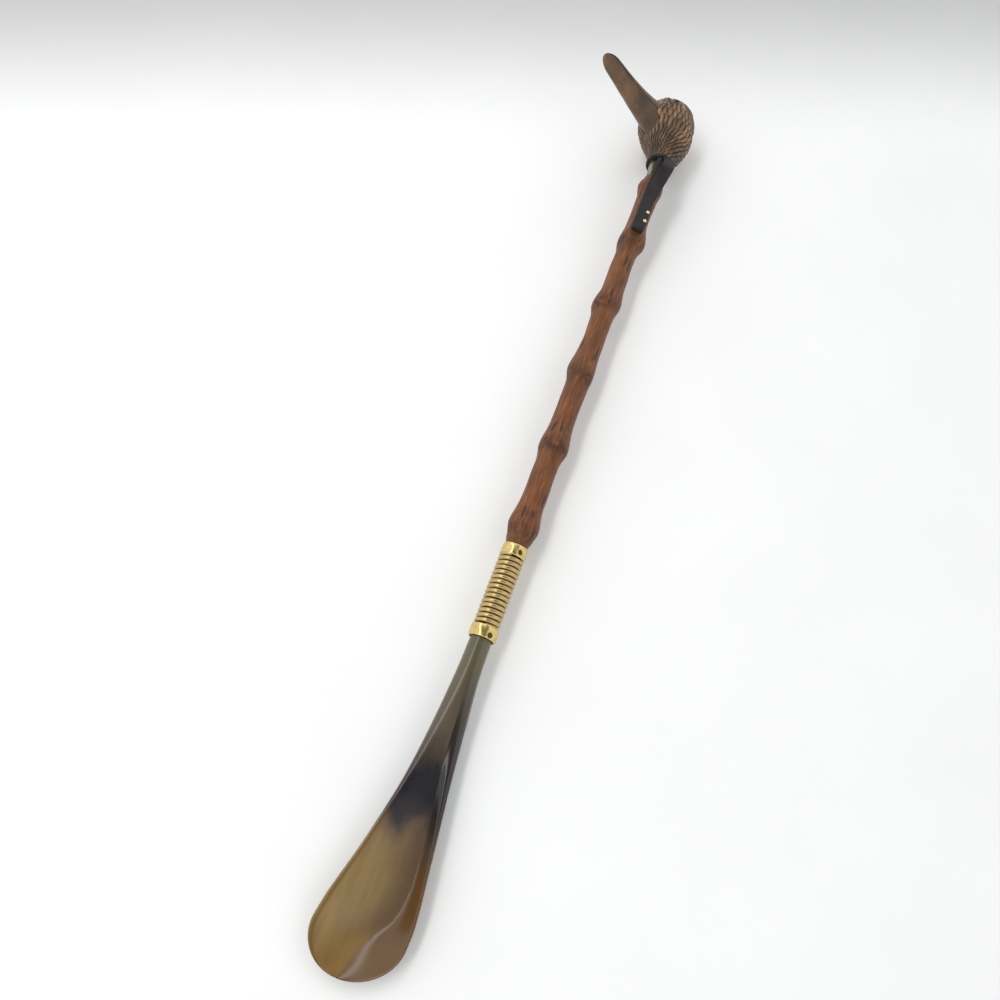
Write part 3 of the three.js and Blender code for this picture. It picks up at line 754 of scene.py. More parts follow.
@dataclass
class HornBlade:
    """The horn spoon: a flat bar, bent into a trough, that thickens and closes into a round neck."""

    line: ShaftLine
    round_end: float = 21.0
    into_band: float = 3.0
    sweep: float = 8.6
    sweep_power: float = 3.6
    edge_round: float = 1.6
    width_at: tuple = (21, 30, 40, 50, 60, 70, 80, 90, 100, 120, 140, 160, 176.8)
    half_width: tuple = (24.3, 23.6, 21.9, 19.9, 17.9, 16.1, 14.3, 12.6, 11.3, 9.4, 7.9, 6.7, 6.35)
    trough_at: tuple = (0, 8, 21, 42, 65, 85, 105, 130, 155)
    trough: tuple = (1.2, 4.4, 8.3, 9.8, 8.6, 5.9, 3.2, 1.5, 0)
    fold_at: tuple = (0, 14, 22, 30, 40, 52, 75, 95, 115, 135, 160)
    fold: tuple = (0.0, 0.05, 0.2, 0.46, 0.6, 0.66, 0.66, 0.54, 0.4, 0.3, 0.1)
    fold_round_at: tuple = (0, 25, 50, 100, 150)
    fold_round: tuple = (0.6, 0.2, 0.1, 0.1, 0.2)
    wall_at: tuple = (0, 21, 50, 75, 95, 120, 150, 172)
    half_wall: tuple = (1.0, 1.3, 1.6, 2.3, 3.4, 4.9, 6.1, 6.35)
    rim_at: tuple = (0, 21, 45, 90, 150)
    rim: tuple = (-3.2, -0.9, 0.7, 0.6, 0)
    fullness_at: tuple = (0, 60, 110, 160)
    fullness: tuple = (5, 5, 3, 2)
    trough_power: float = 1.25
    steepest: float = 1.6
    wave_height: float = 0.12
    wave_length: float = 38.0
    wave_seed: int = 3
    arc_start: float = 0.03
    arc_rows: int = 46
    rows: int = 150
    around: int = 132

    def trough_shape(self, q: Array, s: Array) -> Array:
        """Depth of the trough across it, from 0 at the rims to 1 at its fold.

        The fold is a softened corner: with d the distance from it, sqrt(d^2 + soft^2) - soft, as a share
        of its value at that side's rim, to the power trough_power.

        Args:
            q: places across the blade, -1 at one rim and 1 at the other.
            s: places along it.

        Returns:
            The share of the trough's depth there.
        """
        fold, soft = through(self.fold_at, self.fold, s), through(self.fold_round_at, self.fold_round, s)
        away = q - fold
        side = np.where(away < 0, 1 + fold, 1 - fold)
        share = (np.sqrt(away**2 + soft**2) - soft) / (np.sqrt(side**2 + soft**2) - soft)
        return 1 - np.clip(share, 0, 2) ** self.trough_power

    def skin(self) -> Skin:
        """The blade's surface.

        Each cross-section is q across (-1 to 1) and h through (-1 to 1). Its middle line hangs below the
        rims by trough times trough_shape(q), and the wall stands half_wall h off it. Sections shrink to
        nothing round the tip's arc, and lean sideways by sweep (1 - s/length)^power.

        Returns:
            The skin, with its shares for the horn's colour: rosy and orange-brown horn tones, and painted
            shade on the trough's right wall, which darkens the orange-brown there too.
        """
        length = self.line.blade_end
        arc = np.linspace(self.arc_start, math.pi / 2, self.arc_rows)[:-1]
        stretch = np.linspace(self.round_end, length, self.rows)
        tip = self.round_end * (1 - np.cos(arc))
        s = np.concatenate([tip, stretch, [length + self.into_band]])[:, None]
        angle = turns(self.around)[None, :]
        q = np.cos(angle)
        width = through(self.width_at, self.half_width, s)
        spread = np.sqrt(np.clip(1 - np.clip(1 - s / self.round_end, 0, 1) ** 2, 0, 1))
        blunt = np.sqrt(np.clip(1 - np.clip(1 - s / self.edge_round, 0, 1) ** 2, 0.002, 1))
        fullness = through(self.fullness_at, self.fullness, s)
        h = np.sign(np.sin(angle)) * flat_section(q, fullness) * (np.abs(np.sin(angle)) > 1e-9)
        half_wall = through(self.wall_at, self.half_wall, s) * blunt
        thin = ease(150, 70, s)
        half = width * spread
        trough, step = through(self.trough_at, self.trough, s), 0.01
        turn = self.trough_shape(q + step, s) - self.trough_shape(q - step, s)
        slope = np.clip(-trough * turn / (2 * step) / np.maximum(half, 1), -self.steepest, self.steepest)
        steep = np.sqrt(1 + slope**2)
        x = half * q - half_wall * h * slope / steep
        z = through(self.rim_at, self.rim, s) - trough * self.trough_shape(q, s) + half_wall * h / steep
        sideways = -self.sweep * np.clip(1 - s / length, 0, 1) ** self.sweep_power
        fold = through(self.fold_at, self.fold, s)
        # The trough's right wall, beyond the fold, gets painted shade: orange-brown near the tip, near
        # black further up.
        beyond = ease(fold - 0.02, fold + 0.2, q)
        # A thin line of the horn's own orange-brown along the left rim.
        rim_line = np.exp(-((q + 0.93) / 0.035) ** 2) * ease(125, 95, s) * 0.55
        values = {
            "amber": np.clip(beyond * ease(78, 50, s) * 0.85 + rim_line, 0, 1),
            "dusk": beyond * ease(45, 80, s) * ease(172, 120, s) * 0.85,
            "rosy": ease(fold - 0.9, fold - 0.1, q) * ease(12, 30, s) * ease(90, 60, s) * 0.75,
        }
        points = stack(x + sideways, s, z)
        points[..., 2] += self.wave_height * ripple(points, self.wave_length, self.wave_seed) * thin
        return lofted(points, {name: np.broadcast_to(value, x.shape) for name, value in values.items()})

    def build(self) -> None:
        """Makes the blade."""
        horn = PolishedHorn("polished_cow_horn", roughness=0.24, ior=1.54, subsurface=0.04,
                            tip_y=float(self.line.start[1]), length=self.line.blade_end * MM)
        self.line.piece("horn_spoon", self.skin(), horn.build(), "horn", ["horn_blade"])


# ---------------------------------------------------------------- brass joint

class Mouth(Enum):
    """Which way a band's open mouth faces."""

    TO_TIP = 1
    TO_HEAD = -1


@dataclass
class BrassJoint:
    """Two hammered bands and the close wire whipping between them, over a thin sleeve."""

    line: ShaftLine
    band_length: float = 7.8
    lower_radius: float = 8.2
    upper_radius: float = 7.8
    mouth_wall: float = 1.0
    mouth_depth: float = 3.2
    lip: float = 0.8
    bulge: float = 0.35
    inner_radius: float = 5.2
    wire_centre: float = 6.32
    wire_radius: float = 1.4
    wire_turns: int = 15
    reflection_spot_turn: float = 35.0
    reflection_spot_radius: float = 1.8
    reflection_spot_sunk: float = 0.3
    lower_reflection_share: float = 0.3
    upper_reflection_share: float = 0.62
    dent_depth: float = 0.2
    dent_length: float = 6.5
    dent_seed: int = 11
    band_around: int = 144
    under_band: float = 0.9
    steps_a_turn: int = 72
    wire_around: int = 16
    wire_soot: float = 0.5

    def band(self, radius: float, mouth: float, way: Mouth) -> Skin:
        """One band: a closed profile turned about the axis.

        The outside falls away by bulge u^4 towards its ends, u from -1 to 1, with rounded lips. Hammering
        moves it in and out by soft ripples. Beside the top a round spot is sunk a little and painted dark:
        a painted dark reflection, such as a polished band shows of a dark thing nearby.

        Args:
            radius: the band's greatest radius.
            mouth: where its open mouth lies along the axis.
            way: which way the mouth faces.

        Returns:
            The skin, with its tarnish and its painted dark reflection, for the brass.
        """
        u = np.linspace(-1, 1, 33)
        lip_share = self.lip / self.band_length * 2
        lip = np.clip((np.abs(u) - 1 + lip_share) / lip_share, 0, 1)
        outer = radius - self.bulge * u**4 - self.lip * (1 - np.sqrt(np.clip(1 - lip**2, 0, 1)))
        mouth_radius = radius - self.mouth_wall
        depth = (u + 1) / 2 * self.band_length
        profile_r = np.concatenate([
            [self.inner_radius, mouth_radius - 0.4, mouth_radius, mouth_radius], outer,
            [radius - self.lip - 0.6, self.inner_radius]])
        profile_d = np.concatenate([
            [self.mouth_depth, self.mouth_depth, self.mouth_depth - 0.4, 0.15], depth,
            [self.band_length, self.band_length - 0.05]])
        grid = spun(profile_r, mouth + way.value * profile_d, self.band_around)
        angle = turns(self.band_around)[None, :]
        outside = ease(mouth_radius - 0.1, mouth_radius + 0.5, profile_r)[:, None]
        dent = ripple(grid, self.dent_length, self.dent_seed + way.value) * self.dent_depth
        # A round spot beside the top, sunk a little: a painted dark reflection.
        reflection_share = self.lower_reflection_share if way is Mouth.TO_TIP else self.upper_reflection_share
        reflection_spot_depth = self.band_length * reflection_share
        across = (angle - math.radians(self.reflection_spot_turn)) * radius
        from_reflection_spot = np.hypot(across, (profile_d - reflection_spot_depth)[:, None])
        painted_reflection = ease(self.reflection_spot_radius + 0.25, self.reflection_spot_radius - 0.45, from_reflection_spot) * outside
        pull = 1 + outside * (dent - self.reflection_spot_sunk * painted_reflection) / radius
        grid[..., 0] *= pull
        grid[..., 2] *= pull
        # Tarnish inside the band, and the painted dark reflection.
        soot = np.clip(0.85 * np.broadcast_to(1 - outside, painted_reflection.shape) + painted_reflection, 0, 1)
        return lofted(np.swapaxes(grid, 0, 1), {"soot": np.swapaxes(soot, 0, 1)}, ring=True)

    def whipping(self) -> Skin:
        """The wire: a round section carried along a helix, whose ends dive under the bands.

        The middle line is (r sin a, s, r cos a) with a growing evenly along s. The section is turned with
        the helix's own outward and sideways directions. Soot gathers on the side facing the sleeve.

        Returns:
            The skin, with its tarnish for the brass.
        """
        reach = self.band_length * self.under_band
        low, high = self.line.blade_end + reach, self.line.joint_end - reach
        t = np.linspace(0, 1, self.wire_turns * self.steps_a_turn)
        a = t * self.wire_turns * TURN
        slack = 0.05 * np.sin(a * 1.37) + 0.04 * np.sin(a * 0.53 + 1)
        s = low + (high - low) * t + slack
        centre = stack(self.wire_centre * np.sin(a), s, self.wire_centre * np.cos(a))
        outward = stack(np.sin(a), 0, np.cos(a))
        tangent = np.gradient(centre, axis=0)
        tangent /= np.linalg.norm(tangent, axis=1, keepdims=True)
        across = np.cross(tangent, outward)
        phi = turns(self.wire_around)
        ring = np.cos(phi)[None, :, None] * outward[:, None] + np.sin(phi)[None, :, None] * across[:, None]
        grid = centre[:, None] + self.wire_radius * ring
        soot = np.broadcast_to(self.wire_soot * ease(0.3, -0.4, np.cos(phi))[None, :], grid.shape[:2])
        return lofted(grid, {"soot": soot})

    def build(self) -> None:
        """Makes the bands and the whipping, and dresses the sleeve under them."""
        bright = Brass("hammered_brass", roughness=0.22, metallic=1.0).build()
        wire = Brass("drawn_brass_wire", roughness=0.3, metallic=1.0,
                     bright="c2ab78", mottle_mm=1.6).build()
        aged = Brass("aged_brass_sleeve", roughness=0.4, metallic=1.0,
                     bright="8a6c33", dull="4a3817").build()
        lower = self.band(self.lower_radius, self.line.blade_end, Mouth.TO_TIP)
        upper = self.band(self.upper_radius, self.line.joint_end, Mouth.TO_HEAD)
        self.line.piece("hammered_band_lower", lower, bright, "joint_brass", ["lower_band"])
        self.line.piece("hammered_band_upper", upper, bright, "joint_brass", ["upper_band"])
        self.line.piece("brass_whipping", self.whipping(), wire, "joint_brass", ["whipping_wire"])
        dress_node("joint_sleeve", aged)


def dress_node(name: str, finish: bpy.types.Material) -> None:
    """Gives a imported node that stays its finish.

    Args:
        name: the node's name.
        finish: its material.
    """
    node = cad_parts[name]
    if not node.material_slots:
        node.data.materials.append(finish)
    for slot in node.material_slots:
        slot.material = finish


# ---------------------------------------------------------------- cane shaft

@dataclass
class CaneShaft:
    """The wooden shaft: a cane with knuckles, each a little oblique, steep below and easy above."""

    line: ShaftLine
    radius: float = 7.5
    knuckle_rise: float = 2.05
    below: float = 7.0
    above: float = 11.0
    shares: tuple = (0.043, 0.225, 0.413, 0.603, 0.792, 0.967)
    mouth_radius: float = 6.6
    top_radius: float = 7.55
    groove: float = 0.07
    grooves: int = 23
    uneven: float = 0.22
    uneven_length: float = 24.0
    uneven_seed: int = 5
    smudge_below: float = 3.5
    smudge_reach: float = 5.0
    into_band: float = 2.5
    out_of_band: float = 4.5
    to_top: float = 9.0
    knuckle_seed: int = 21
    rows: int = 560
    around: int = 96

    def skin(self) -> Skin:
        """The shaft's surface.

        The radius is the cane's plus, at each knuckle, rise exp(-(d / reach)^2), with a shorter reach on
        the blade's side. d is measured from a place that shifts round the shaft, so that each knuckle is
        oblique.

        Returns:
            The skin, with its knuckle share for the wood's dark smudges.
        """
        start, end = self.line.joint_end, self.line.shaft_end
        rows = np.linspace(start - self.into_band, end - 0.1, self.rows)[:, None]
        angle = turns(self.around)[None, :]
        rng = np.random.default_rng(self.knuckle_seed)
        radius = self.radius + 0 * angle + 0 * rows
        smudge = np.zeros_like(radius)
        for share in self.shares:
            lean, facing, rise = rng.uniform(0.8, 2.2), rng.uniform(0, TURN), rng.uniform(0.85, 1.1)
            away = rows - mix(start, end, share) - lean * np.cos(angle - facing)
            reach = np.where(away < 0, self.below, self.above)
            side = 1 + 0.28 * np.cos(angle - rng.uniform(0, TURN)) + 0.12 * np.cos(3 * angle + facing)
            radius = radius + self.knuckle_rise * rise * side * np.exp(-((away / reach) ** 2))
            stain = np.exp(-((away + self.smudge_below) / self.smudge_reach) ** 2)
            smudge = np.maximum(smudge, stain * (0.8 + 0.2 * np.cos(2 * angle + facing)))
        middle = stack(radius * np.sin(angle), rows, radius * np.cos(angle))
        radius = radius + self.uneven * ripple(middle, self.uneven_length, self.uneven_seed)
        radius = radius + self.groove * np.cos(angle * self.grooves + 2 * np.sin(rows / 17))
        radius = mix(self.mouth_radius, radius, ease(start - 0.2, start + self.out_of_band, rows))
        radius = mix(radius, self.top_radius, ease(end - self.to_top, end, rows))
        radius = radius - 0.5 * ease(end - 1.0, end - 0.1, rows)
        grid = stack(radius * np.sin(angle), rows, radius * np.cos(angle))
        return lofted(grid, {"knuckle": smudge})

    def build(self) -> None:
        """Makes the shaft."""
        wood = VarnishedCane("varnished_cane", roughness=0.55, ior=1.42,
                             coat=0.06, coat_roughness=0.3).build()
        self.line.piece("cane_shaft", self.skin(), wood, "shaft_wood", ["wood_shaft"])


# ---------------------------------------------------------------- collar

@dataclass
class NeckCollar:
    """The grey cone between the shaft and the head, with softened edges, and the studs inside."""

    line: ShaftLine
    low_radius: float = 6.35
    high_radius: float = 7.8
    edge: float = 0.4
    waist: float = 0.15
    rows: int = 40
    around: int = 96

    def skin(self) -> Skin:
        """A cone between two flat ends, its corners rounded by quarter circles.

        Its radius draws in by waist sin(pi t), t from 0 at one end to 1 at the other.

        Returns:
            The skin.
        """
        low, high = self.line.shaft_end, self.line.collar_end
        t = np.linspace(0, 1, self.rows)
        s = mix(low, high, t)
        corner = np.clip(1 - np.minimum(s - low, high - s) / self.edge, 0, 1)
        radius = mix(self.low_radius, self.high_radius, t) - self.edge * (1 - np.sqrt(1 - corner**2))
        radius = radius - self.waist * np.sin(math.pi * t)
        return lofted(spun(radius, s, self.around))

    def build(self) -> None:
        """Makes the collar and dresses the studs."""
        plate = TurnedNickel("turned_nickel_plate", roughness=0.3, metallic=0.85).build()
        steel = PlainSteel("drawn_steel", roughness=0.35, metallic=1.0).build()
        self.line.piece("cone_collar", self.skin(), plate, "collar_metal", ["neck_collar"])
        for name in ("blade_stud", "head_stud"):
            dress_node(name, steel)


# ---------------------------------------------------------------- bird's head

@dataclass
class BirdHead:
    """A carved bird's head: feathered neck and skull, a long smooth bill, and bead eyes."""

    line: ShaftLine
    start_gap: float = 2.6
    neck_radius: float = 10.4
    to_skull: float = 35.5
    skull_shift: float = 5.0
    skull_radius: float = 20.0
    crown: float = 25.5
    bill_length: float = 75.5
    bill_width: float = 26.0
    bill_tip_width: float = 13.5
    bill_top: tuple = (31.0, 3.4)
    bill_bottom: tuple = (-17.5, -1.2)
    bill_hollow: float = 15.2
    bill_round: float = 0.14
    mouth_height: float = -0.2
    elevation: float = 41.0
    eye: tuple = (11.0, 7.0, 14.6)
    eye_radius: float = 1.9
    gape: tuple = (19.0, 3.0, 0.0)
    cheek: float = 0.2
    bare: float = 11.5
    feather_row: float = 13.5
    feather_width: float = 3.8
    feather_rise: float = 1.3
    crowding: float = 42.0
    twist_at: tuple = (-36, -10, -4, 26)
    twist: tuple = (0.72, -0.06, -0.064, 0.416)
    rows: int = 24
    most: int = 64
    girth_at: tuple = (0, 2, 4, 7, 9, 24)
    girth: tuple = (12, 20, 20, 16, 12, 10)
    feather_seed: int = 5
    quill_depth: float = 0.18
    quill_width: float = 0.16
    rim_rise: float = 0.45
    ring_radius: float = 3.4
    ring_rise: float = 0.8
    socket_depth: float = 1.2
    skull_rows: int = 250
    skull_around: int = 372
    bill_rows: int = 170
    bill_around: int = 140

    def out(self, along: Array | float, up: Array | float, across: Array | float) -> Array:
        """Turns places in the head's own directions into (x, s, z).

        Args:
            along: along the bill, from the skull's middle.
            up: out of the crown.
            across: across the head, towards the side that is up.

        Returns:
            The places about the shaft's axis.
        """
        tilt = math.radians(self.elevation)
        along = along + self.skull_shift
        x = -math.cos(tilt) * along + math.sin(tilt) * across
        z = math.sin(tilt) * along + math.cos(tilt) * across
        return stack(x, self.line.collar_end + self.to_skull + up, z)

    def feathers(self, local: Array) -> tuple[Array, Array]:
        """Height of the carving over the bare skull, and how far each place stands out of the cuts.

        Rows of feathers ring the head below its crown, turned by twist as they go down, and crowd
        together towards the neck. In a row each feather is a leaf: q across it and p along it. Its top is
        (1 - (q / w)^2)^0.65 with w the leaf's outline, less a groove for its quill, and it rises towards
        its free end, which lies over the root of the next row. The cheek round the gape is bare, with a
        raised rim and a cut at its edge, and each eye lies in a ringed hollow.

        Args:
            local: places as (along, up, across).

        Returns:
            Height in millimetres, and the carving number from 0 in a cut to 1 on a top.
        """
        up = local[..., 1]
        far = np.linalg.norm(local - np.array(self.gape), axis=-1)
        about = np.arctan2(-local[..., 0], local[..., 2]) + through(self.twist_at, self.twist, up)
        turn = about + 0.03 * ripple(local, 9, 9)
        past = np.maximum(self.crown - up + 0.8 * ripple(local, 10, 8), 0)
        rng = np.random.default_rng(self.feather_seed)
        place = past / self.feather_row * (1 + past / self.crowding)
        row = np.floor(place).astype(int)
        offsets, lifts = rng.random(self.rows), rng.random((self.rows, self.most))
        girth = through(self.girth_at, self.girth, np.arange(self.rows))
        counts = np.round(TURN * girth / self.feather_width).astype(int)
        best = np.zeros(up.shape)
        for back in (0, 1):
            r = np.clip(row - back, 0, self.rows - 1)
            p = place - (row - back)
            a = turn / TURN * counts[r] + 0.5 * (r % 2) + 0.3 * offsets[r]
            column = np.floor(a).astype(int)
            lift = lifts[r, column % counts[r]]
            q = (a - column - 0.5) * 2
            tapering = np.clip((p - 0.6) / (0.7 + 0.3 * lift), 0, 1)
            outline = 0.97 * np.sqrt(1 - tapering**2)
            inside = (np.abs(q) < outline) & (row >= back)
            body = np.clip(1 - (q / np.maximum(outline, 1e-3)) ** 2, 0, 1) ** 0.65
            quill = 1 - self.quill_depth * np.exp(-((q / self.quill_width) ** 2))
            rising = 0.5 + 0.5 * np.clip(p / 1.3, 0, 1)
            best = np.where(inside, body * quill * rising * (0.8 + 0.3 * lift), best if back else 0)
        best = np.clip(best, 0, 1)
        fledged = ease(self.bare, self.bare + 0.8, far)
        rim = np.exp(-(((far - self.bare - 0.9) / 0.8) ** 2))
        cut = np.exp(-(((far - self.bare + 0.3) / 0.5) ** 2))
        height = self.feather_rise * best * fledged + self.rim_rise * rim
        carving = mix(0.72, np.maximum(best, 0.8 * rim), fledged) * (1 - 0.85 * cut)
        for side in (-1, 1):
            eye = np.array(self.eye) * np.array([1, 1, side])
            reach = np.linalg.norm(local - eye, axis=-1)
            height = height + self.ring_rise * np.exp(-(((reach - self.ring_radius) / 0.8) ** 2))
            height = height - self.socket_depth * ease(3.0, 1.6, reach)
            carving = carving * (1 - 0.95 * ease(3.6, 2.6, reach))
        # The carving number is also lowered towards the neck, so the neck is darker there.
        carving = carving * mix(1.0, 0.74, ease(-4, -24, local[..., 1]))
        return height, np.clip(carving, 0, 1)

    def skull(self) -> Skin:
        """Neck and skull: round sections that swell from the neck and close at the crown.

        Below the skull's middle the radius swells smoothly; above it shrinks as an ellipsoid's does. The
        middles move from the shaft's axis towards the bill, and the carving stands out along the radius.

        Returns:
            The skin, with its carving number for the stain.
        """
        low = self.start_gap - self.to_skull
        t = np.linspace(0, 1, self.skull_rows)[:, None]
        up = mix(low, self.crown - 0.05, np.sin(t * math.pi / 2))
        angle = turns(self.skull_around)[None, :]
        above = np.clip(up / self.crown, 0, 1)
        swell = ease(low + 1, -4, up)
        radius = mix(self.neck_radius, self.skull_radius, swell) * np.sqrt(1 - above**2)
        toward_bill = np.exp(-(((angle + math.pi) % TURN - math.pi) / 0.95) ** 2)
        radius = radius * (1 + self.cheek * toward_bill * ease(-17, -4, up) * ease(19, 8, up))
        shift = self.skull_shift * ease(low + 8, 4, up) - self.skull_shift
        along, across = shift + radius * np.cos(angle), radius * np.sin(angle)
        local = np.stack(np.broadcast_arrays(along, up, across), -1)
        height, carving = self.feathers(local)
        centre = np.stack(np.broadcast_arrays(shift, up * 0.55, 0 * angle), -1)
        way = (local - centre) / np.maximum(np.linalg.norm(local - centre, axis=-1, keepdims=True), 1e-6)
        rise = (height - 0.35) * ease(0, 0.02, t)
        local = local + way * rise[..., None]
        grid = self.out(local[..., 0], local[..., 1], local[..., 2])
        return lofted(grid, {"carving": carving})

    def bill(self) -> Skin:
        """The bill: oval sections between a hollow top line and a nearly straight lower line.

        The half width narrows as (1 - share)^1.8, the end rounds off as an ellipse, and the mouth is a
        cut along both sides, a bell curve across its line.

        Returns:
            The skin, with its cut number for the mouth's stain.
        """
        t = np.linspace(0, 1, self.bill_rows)[:, None]
        share = np.sin(t * math.pi / 2)
        angle = turns(self.bill_around)[None, :]
        into_tip = np.clip((share - 1) / self.bill_round + 1, 0, 1)
        rounding = np.sqrt(np.clip(1 - into_tip**2, 0.001, 1))
        hollow = self.bill_hollow * np.sin(math.pi * share**0.6)
        top = mix(*self.bill_top, share) - hollow
        bottom = mix(*self.bill_bottom, share**1.1)
        half_width = mix(self.bill_tip_width, self.bill_width, (1 - share) ** 1.8) / 2 * rounding
        half_depth = (top - bottom) / 2 * rounding
        line = half_depth * self.mouth_height + 0.3 * np.sin(share * 9) * ease(0.6, 0.95, share)
        off_line = half_depth * np.sin(angle) - line
        breadth = 0.55 + 0.5 * np.exp(-(((share - 0.82) / 0.09) ** 2))
        cut = np.exp(-((off_line / breadth) ** 2)) * ease(0.99, 0.95, share)
        pull = 1 - 0.06 * cut
        along = share * self.bill_length
        up = (top + bottom) / 2 + half_depth * np.sin(angle)
        across = half_width * np.cos(angle) * pull - np.sign(np.cos(angle)) * 0.3 * cut
        grid = self.out(along, up, across)
        grid += 0.1 * ripple(grid, 13, 15)[..., None] * np.array([0.6, 0.3, 0.6])
        return lofted(grid, {"cut": np.clip(1.25 * cut - 0.1, 0, 1)})

    def bead(self, side: int) -> Skin:
        """An eye: a ball a little flattened out of the crown.

        Args:
            side: 1 for the near eye and -1 for the far one.

        Returns:
            The skin.
        """
        t = np.linspace(0.02, math.pi - 0.02, 28)[:, None]
        angle = turns(40)[None, :]
        ring = self.eye_radius * np.sin(t)
        along, up = ring * np.cos(angle), ring * np.sin(angle) * 0.9
        across = self.eye_radius * np.cos(t) + 0 * angle
        forward, above, beside = self.eye
        return lofted(self.out(forward + along, above + up, side * beside + across))

    def build(self) -> None:
        """Makes the skull, the bill and the eyes."""
        carved = CarvedWood("carved_stained_wood", roughness=0.5, coat=0.12, coat_roughness=0.3).build()
        smooth = SmoothedWood("smoothed_waxed_wood", roughness=0.4, coat=0.15, coat_roughness=0.25).build()
        bead = JetBead("pressed_black_glass", roughness=0.08).build()
        self.line.piece("feathered_skull", self.skull(), carved, "carved_wood", ["bird_head"])
        self.line.piece("smooth_bill", self.bill(), smooth, "carved_wood", ["bird_head"])
        self.line.piece("eye_bead_near", self.bead(1), bead, "eye_bead", ["eye_near"])
        self.line.piece("eye_bead_far", self.bead(-1), bead, "eye_bead", ["eye_far"])


# ---------------------------------------------------------------- hanging strap

@dataclass
class HangingStrap:
    """The leather strap: an eye clamped under the head, two plies down the shaft, and two nails."""

    line: ShaftLine
    width: float = 9.6
    ply: float = 2.0
    azimuth: float = 18.0
    length: float = 80.5
    seat: float = 9.1
    eye_radius: float = 10.5
    eye_thickness: float = 2.0
    gap: float = 0.3
    nail_offset: float = 1.4
    nail_from_end: float = 9.2
    nail_pitch: float = 8.6
    nail_radius: float = 1.3
    nail_height: float = 0.9
    fullness: float = 7.0
    end_round: float = 1.6
    cup: float = 0.25
    wave_height: float = 0.1
    wave_length: float = 5.3
    rows: int = 150
    around: int = 56

    def lay(self, s: Array, out: Array, side: Array) -> Array:
        """Turns places about the strap's line into (x, s, z).

        Args:
            s: along the shaft's axis.
            out: out from it, towards the strap.
            side: sideways of the strap's middle.

        Returns:
            The places about the shaft's axis.
        """
        turn = math.radians(self.azimuth)
        x = math.sin(turn) * out + math.cos(turn) * side
        z = math.cos(turn) * out - math.sin(turn) * side
        return stack(x, s, z)

    def band(self, down: Sequence[float], out: Sequence[float], side: Sequence[float]) -> Skin:
        """One ply: a flat bar with rounded edges, carried along a smooth line.

        Args:
            down: places along the ply, as distance up the shaft from its lower end.
            out: the ply's middle, from the shaft's axis, at those places.
            side: its drift sideways there.

        Returns:
            The ply's skin. The section is q across and h through, with its lower end rounded off.
        """
        u = np.linspace(down[0], down[-1], self.rows)
        base = self.line.collar_end + self.gap + self.eye_thickness - self.length
        o, w = through(down, out, u), through(down, side, u)
        slope = np.gradient(o, u)
        steep = np.sqrt(1 + slope**2)
        angle = turns(self.around)[None, :]
        q = np.cos(angle)
        h = np.sign(np.sin(angle)) * flat_section(q, self.fullness)
        from_end = np.clip(1 - (u - down[0]) / self.end_round, 0, 1)
        end = np.sqrt(np.clip(1 - from_end**2, 0.03, 1))[:, None]
        across = q * (self.width / 2 - 1.1 * (1 - end))
        thick = h * self.ply / 2 * (0.55 + 0.45 * end)
        cup = self.cup * (1 - q**2)
        s = base + u[:, None] - thick * (slope / steep)[:, None]
        wave = self.wave_height * np.sin(u / self.wave_length)[:, None]
        return lofted(self.lay(s, o[:, None] + thick / steep[:, None] + cup + wave, w[:, None] + across))

    def eye(self) -> Skin:
        """The strap's eye: a disc with a rounded rim, clamped between the collar and the head.

        Returns:
            The skin, turned about the shaft's axis.
        """
        low = self.line.collar_end + self.gap * 0.5
        high = low + self.eye_thickness + self.gap * 0.6
        t = np.linspace(0, math.pi, 24)
        radius = self.eye_radius - 0.9 * (1 - np.sin(t) ** 0.7)
        s = mix(high, low, (1 - np.cos(t)) / 2)
        radius = np.concatenate([[3.0], radius, [3.0]])
        return lofted(spun(radius, np.concatenate([[s[0]], s, [s[-1]]]), 96))

    def nail(self, number: int) -> Skin:
        """A nail's domed head and the top of its shank, standing on the outer ply.

        Args:
            number: 0 for the lower nail and 1 for the upper one.

        Returns:
            The skin.
        """
        t = np.linspace(0, 1, 22)
        radius = self.nail_radius * np.sin(t * math.pi / 2 * 1.04 + 0.02)
        lift = self.nail_height * np.cos(t * math.pi / 2)
        radius, lift = np.append(radius, [0.6, 0.5]), np.append(lift, [-0.15, -3.0])
        angle = turns(32)[None, :]
        base = self.line.collar_end + self.gap + self.eye_thickness - self.length
        s = base + self.nail_from_end + number * self.nail_pitch + radius[:, None] * np.cos(angle)
        out = self.seat + 2 * self.ply + 0.22 + lift[:, None] + 0 * angle
        return lofted(self.lay(s, out, self.nail_offset + radius[:, None] * np.sin(angle)))

    def build(self) -> None:
        """Makes the strap and its nails."""
        leather = BridleLeather("bridle_leather", roughness=0.5, ior=1.4).build()
        brass = Brass("polished_brass_nail", roughness=0.16, metallic=1.0,
                      bright="f3e7bd", mottle_mm=1.2).build()
        inner_mid = self.seat + self.ply / 2
        outer_mid = inner_mid + self.ply
        inner = self.band((0.4, 26.5, 42.0, 54.0, 68.0, 76.5),
                          (inner_mid, inner_mid, 10.8, 10.8, 9.5, 8.7),
                          (-1.4, -1.4, -1.0, -0.6, -0.4, -0.2))
        outer = self.band((0.0, 26.5, 42.0, 54.0, 62.5, 70.0, 74.5, 77.0),
                          (outer_mid, outer_mid, 13.1, 15.2, 16.8, 15.4, 12.6, 10.0),
                          (-1.2, -1.2, 0.3, 1.8, 2.8, 3.3, 3.3, 3.2))
        strap = merged(inner, outer, self.eye())
        self.line.piece("leather_strap", strap, leather, "strap_leather", ["hanging_strap"])
        for number, name in enumerate(("lower", "upper")):
            self.line.piece(f"brass_nail_{name}", self.nail(number), brass,
                            "nail_brass", [f"strap_nail_{name}"])


# ---------------------------------------------------------------- table, light and camera

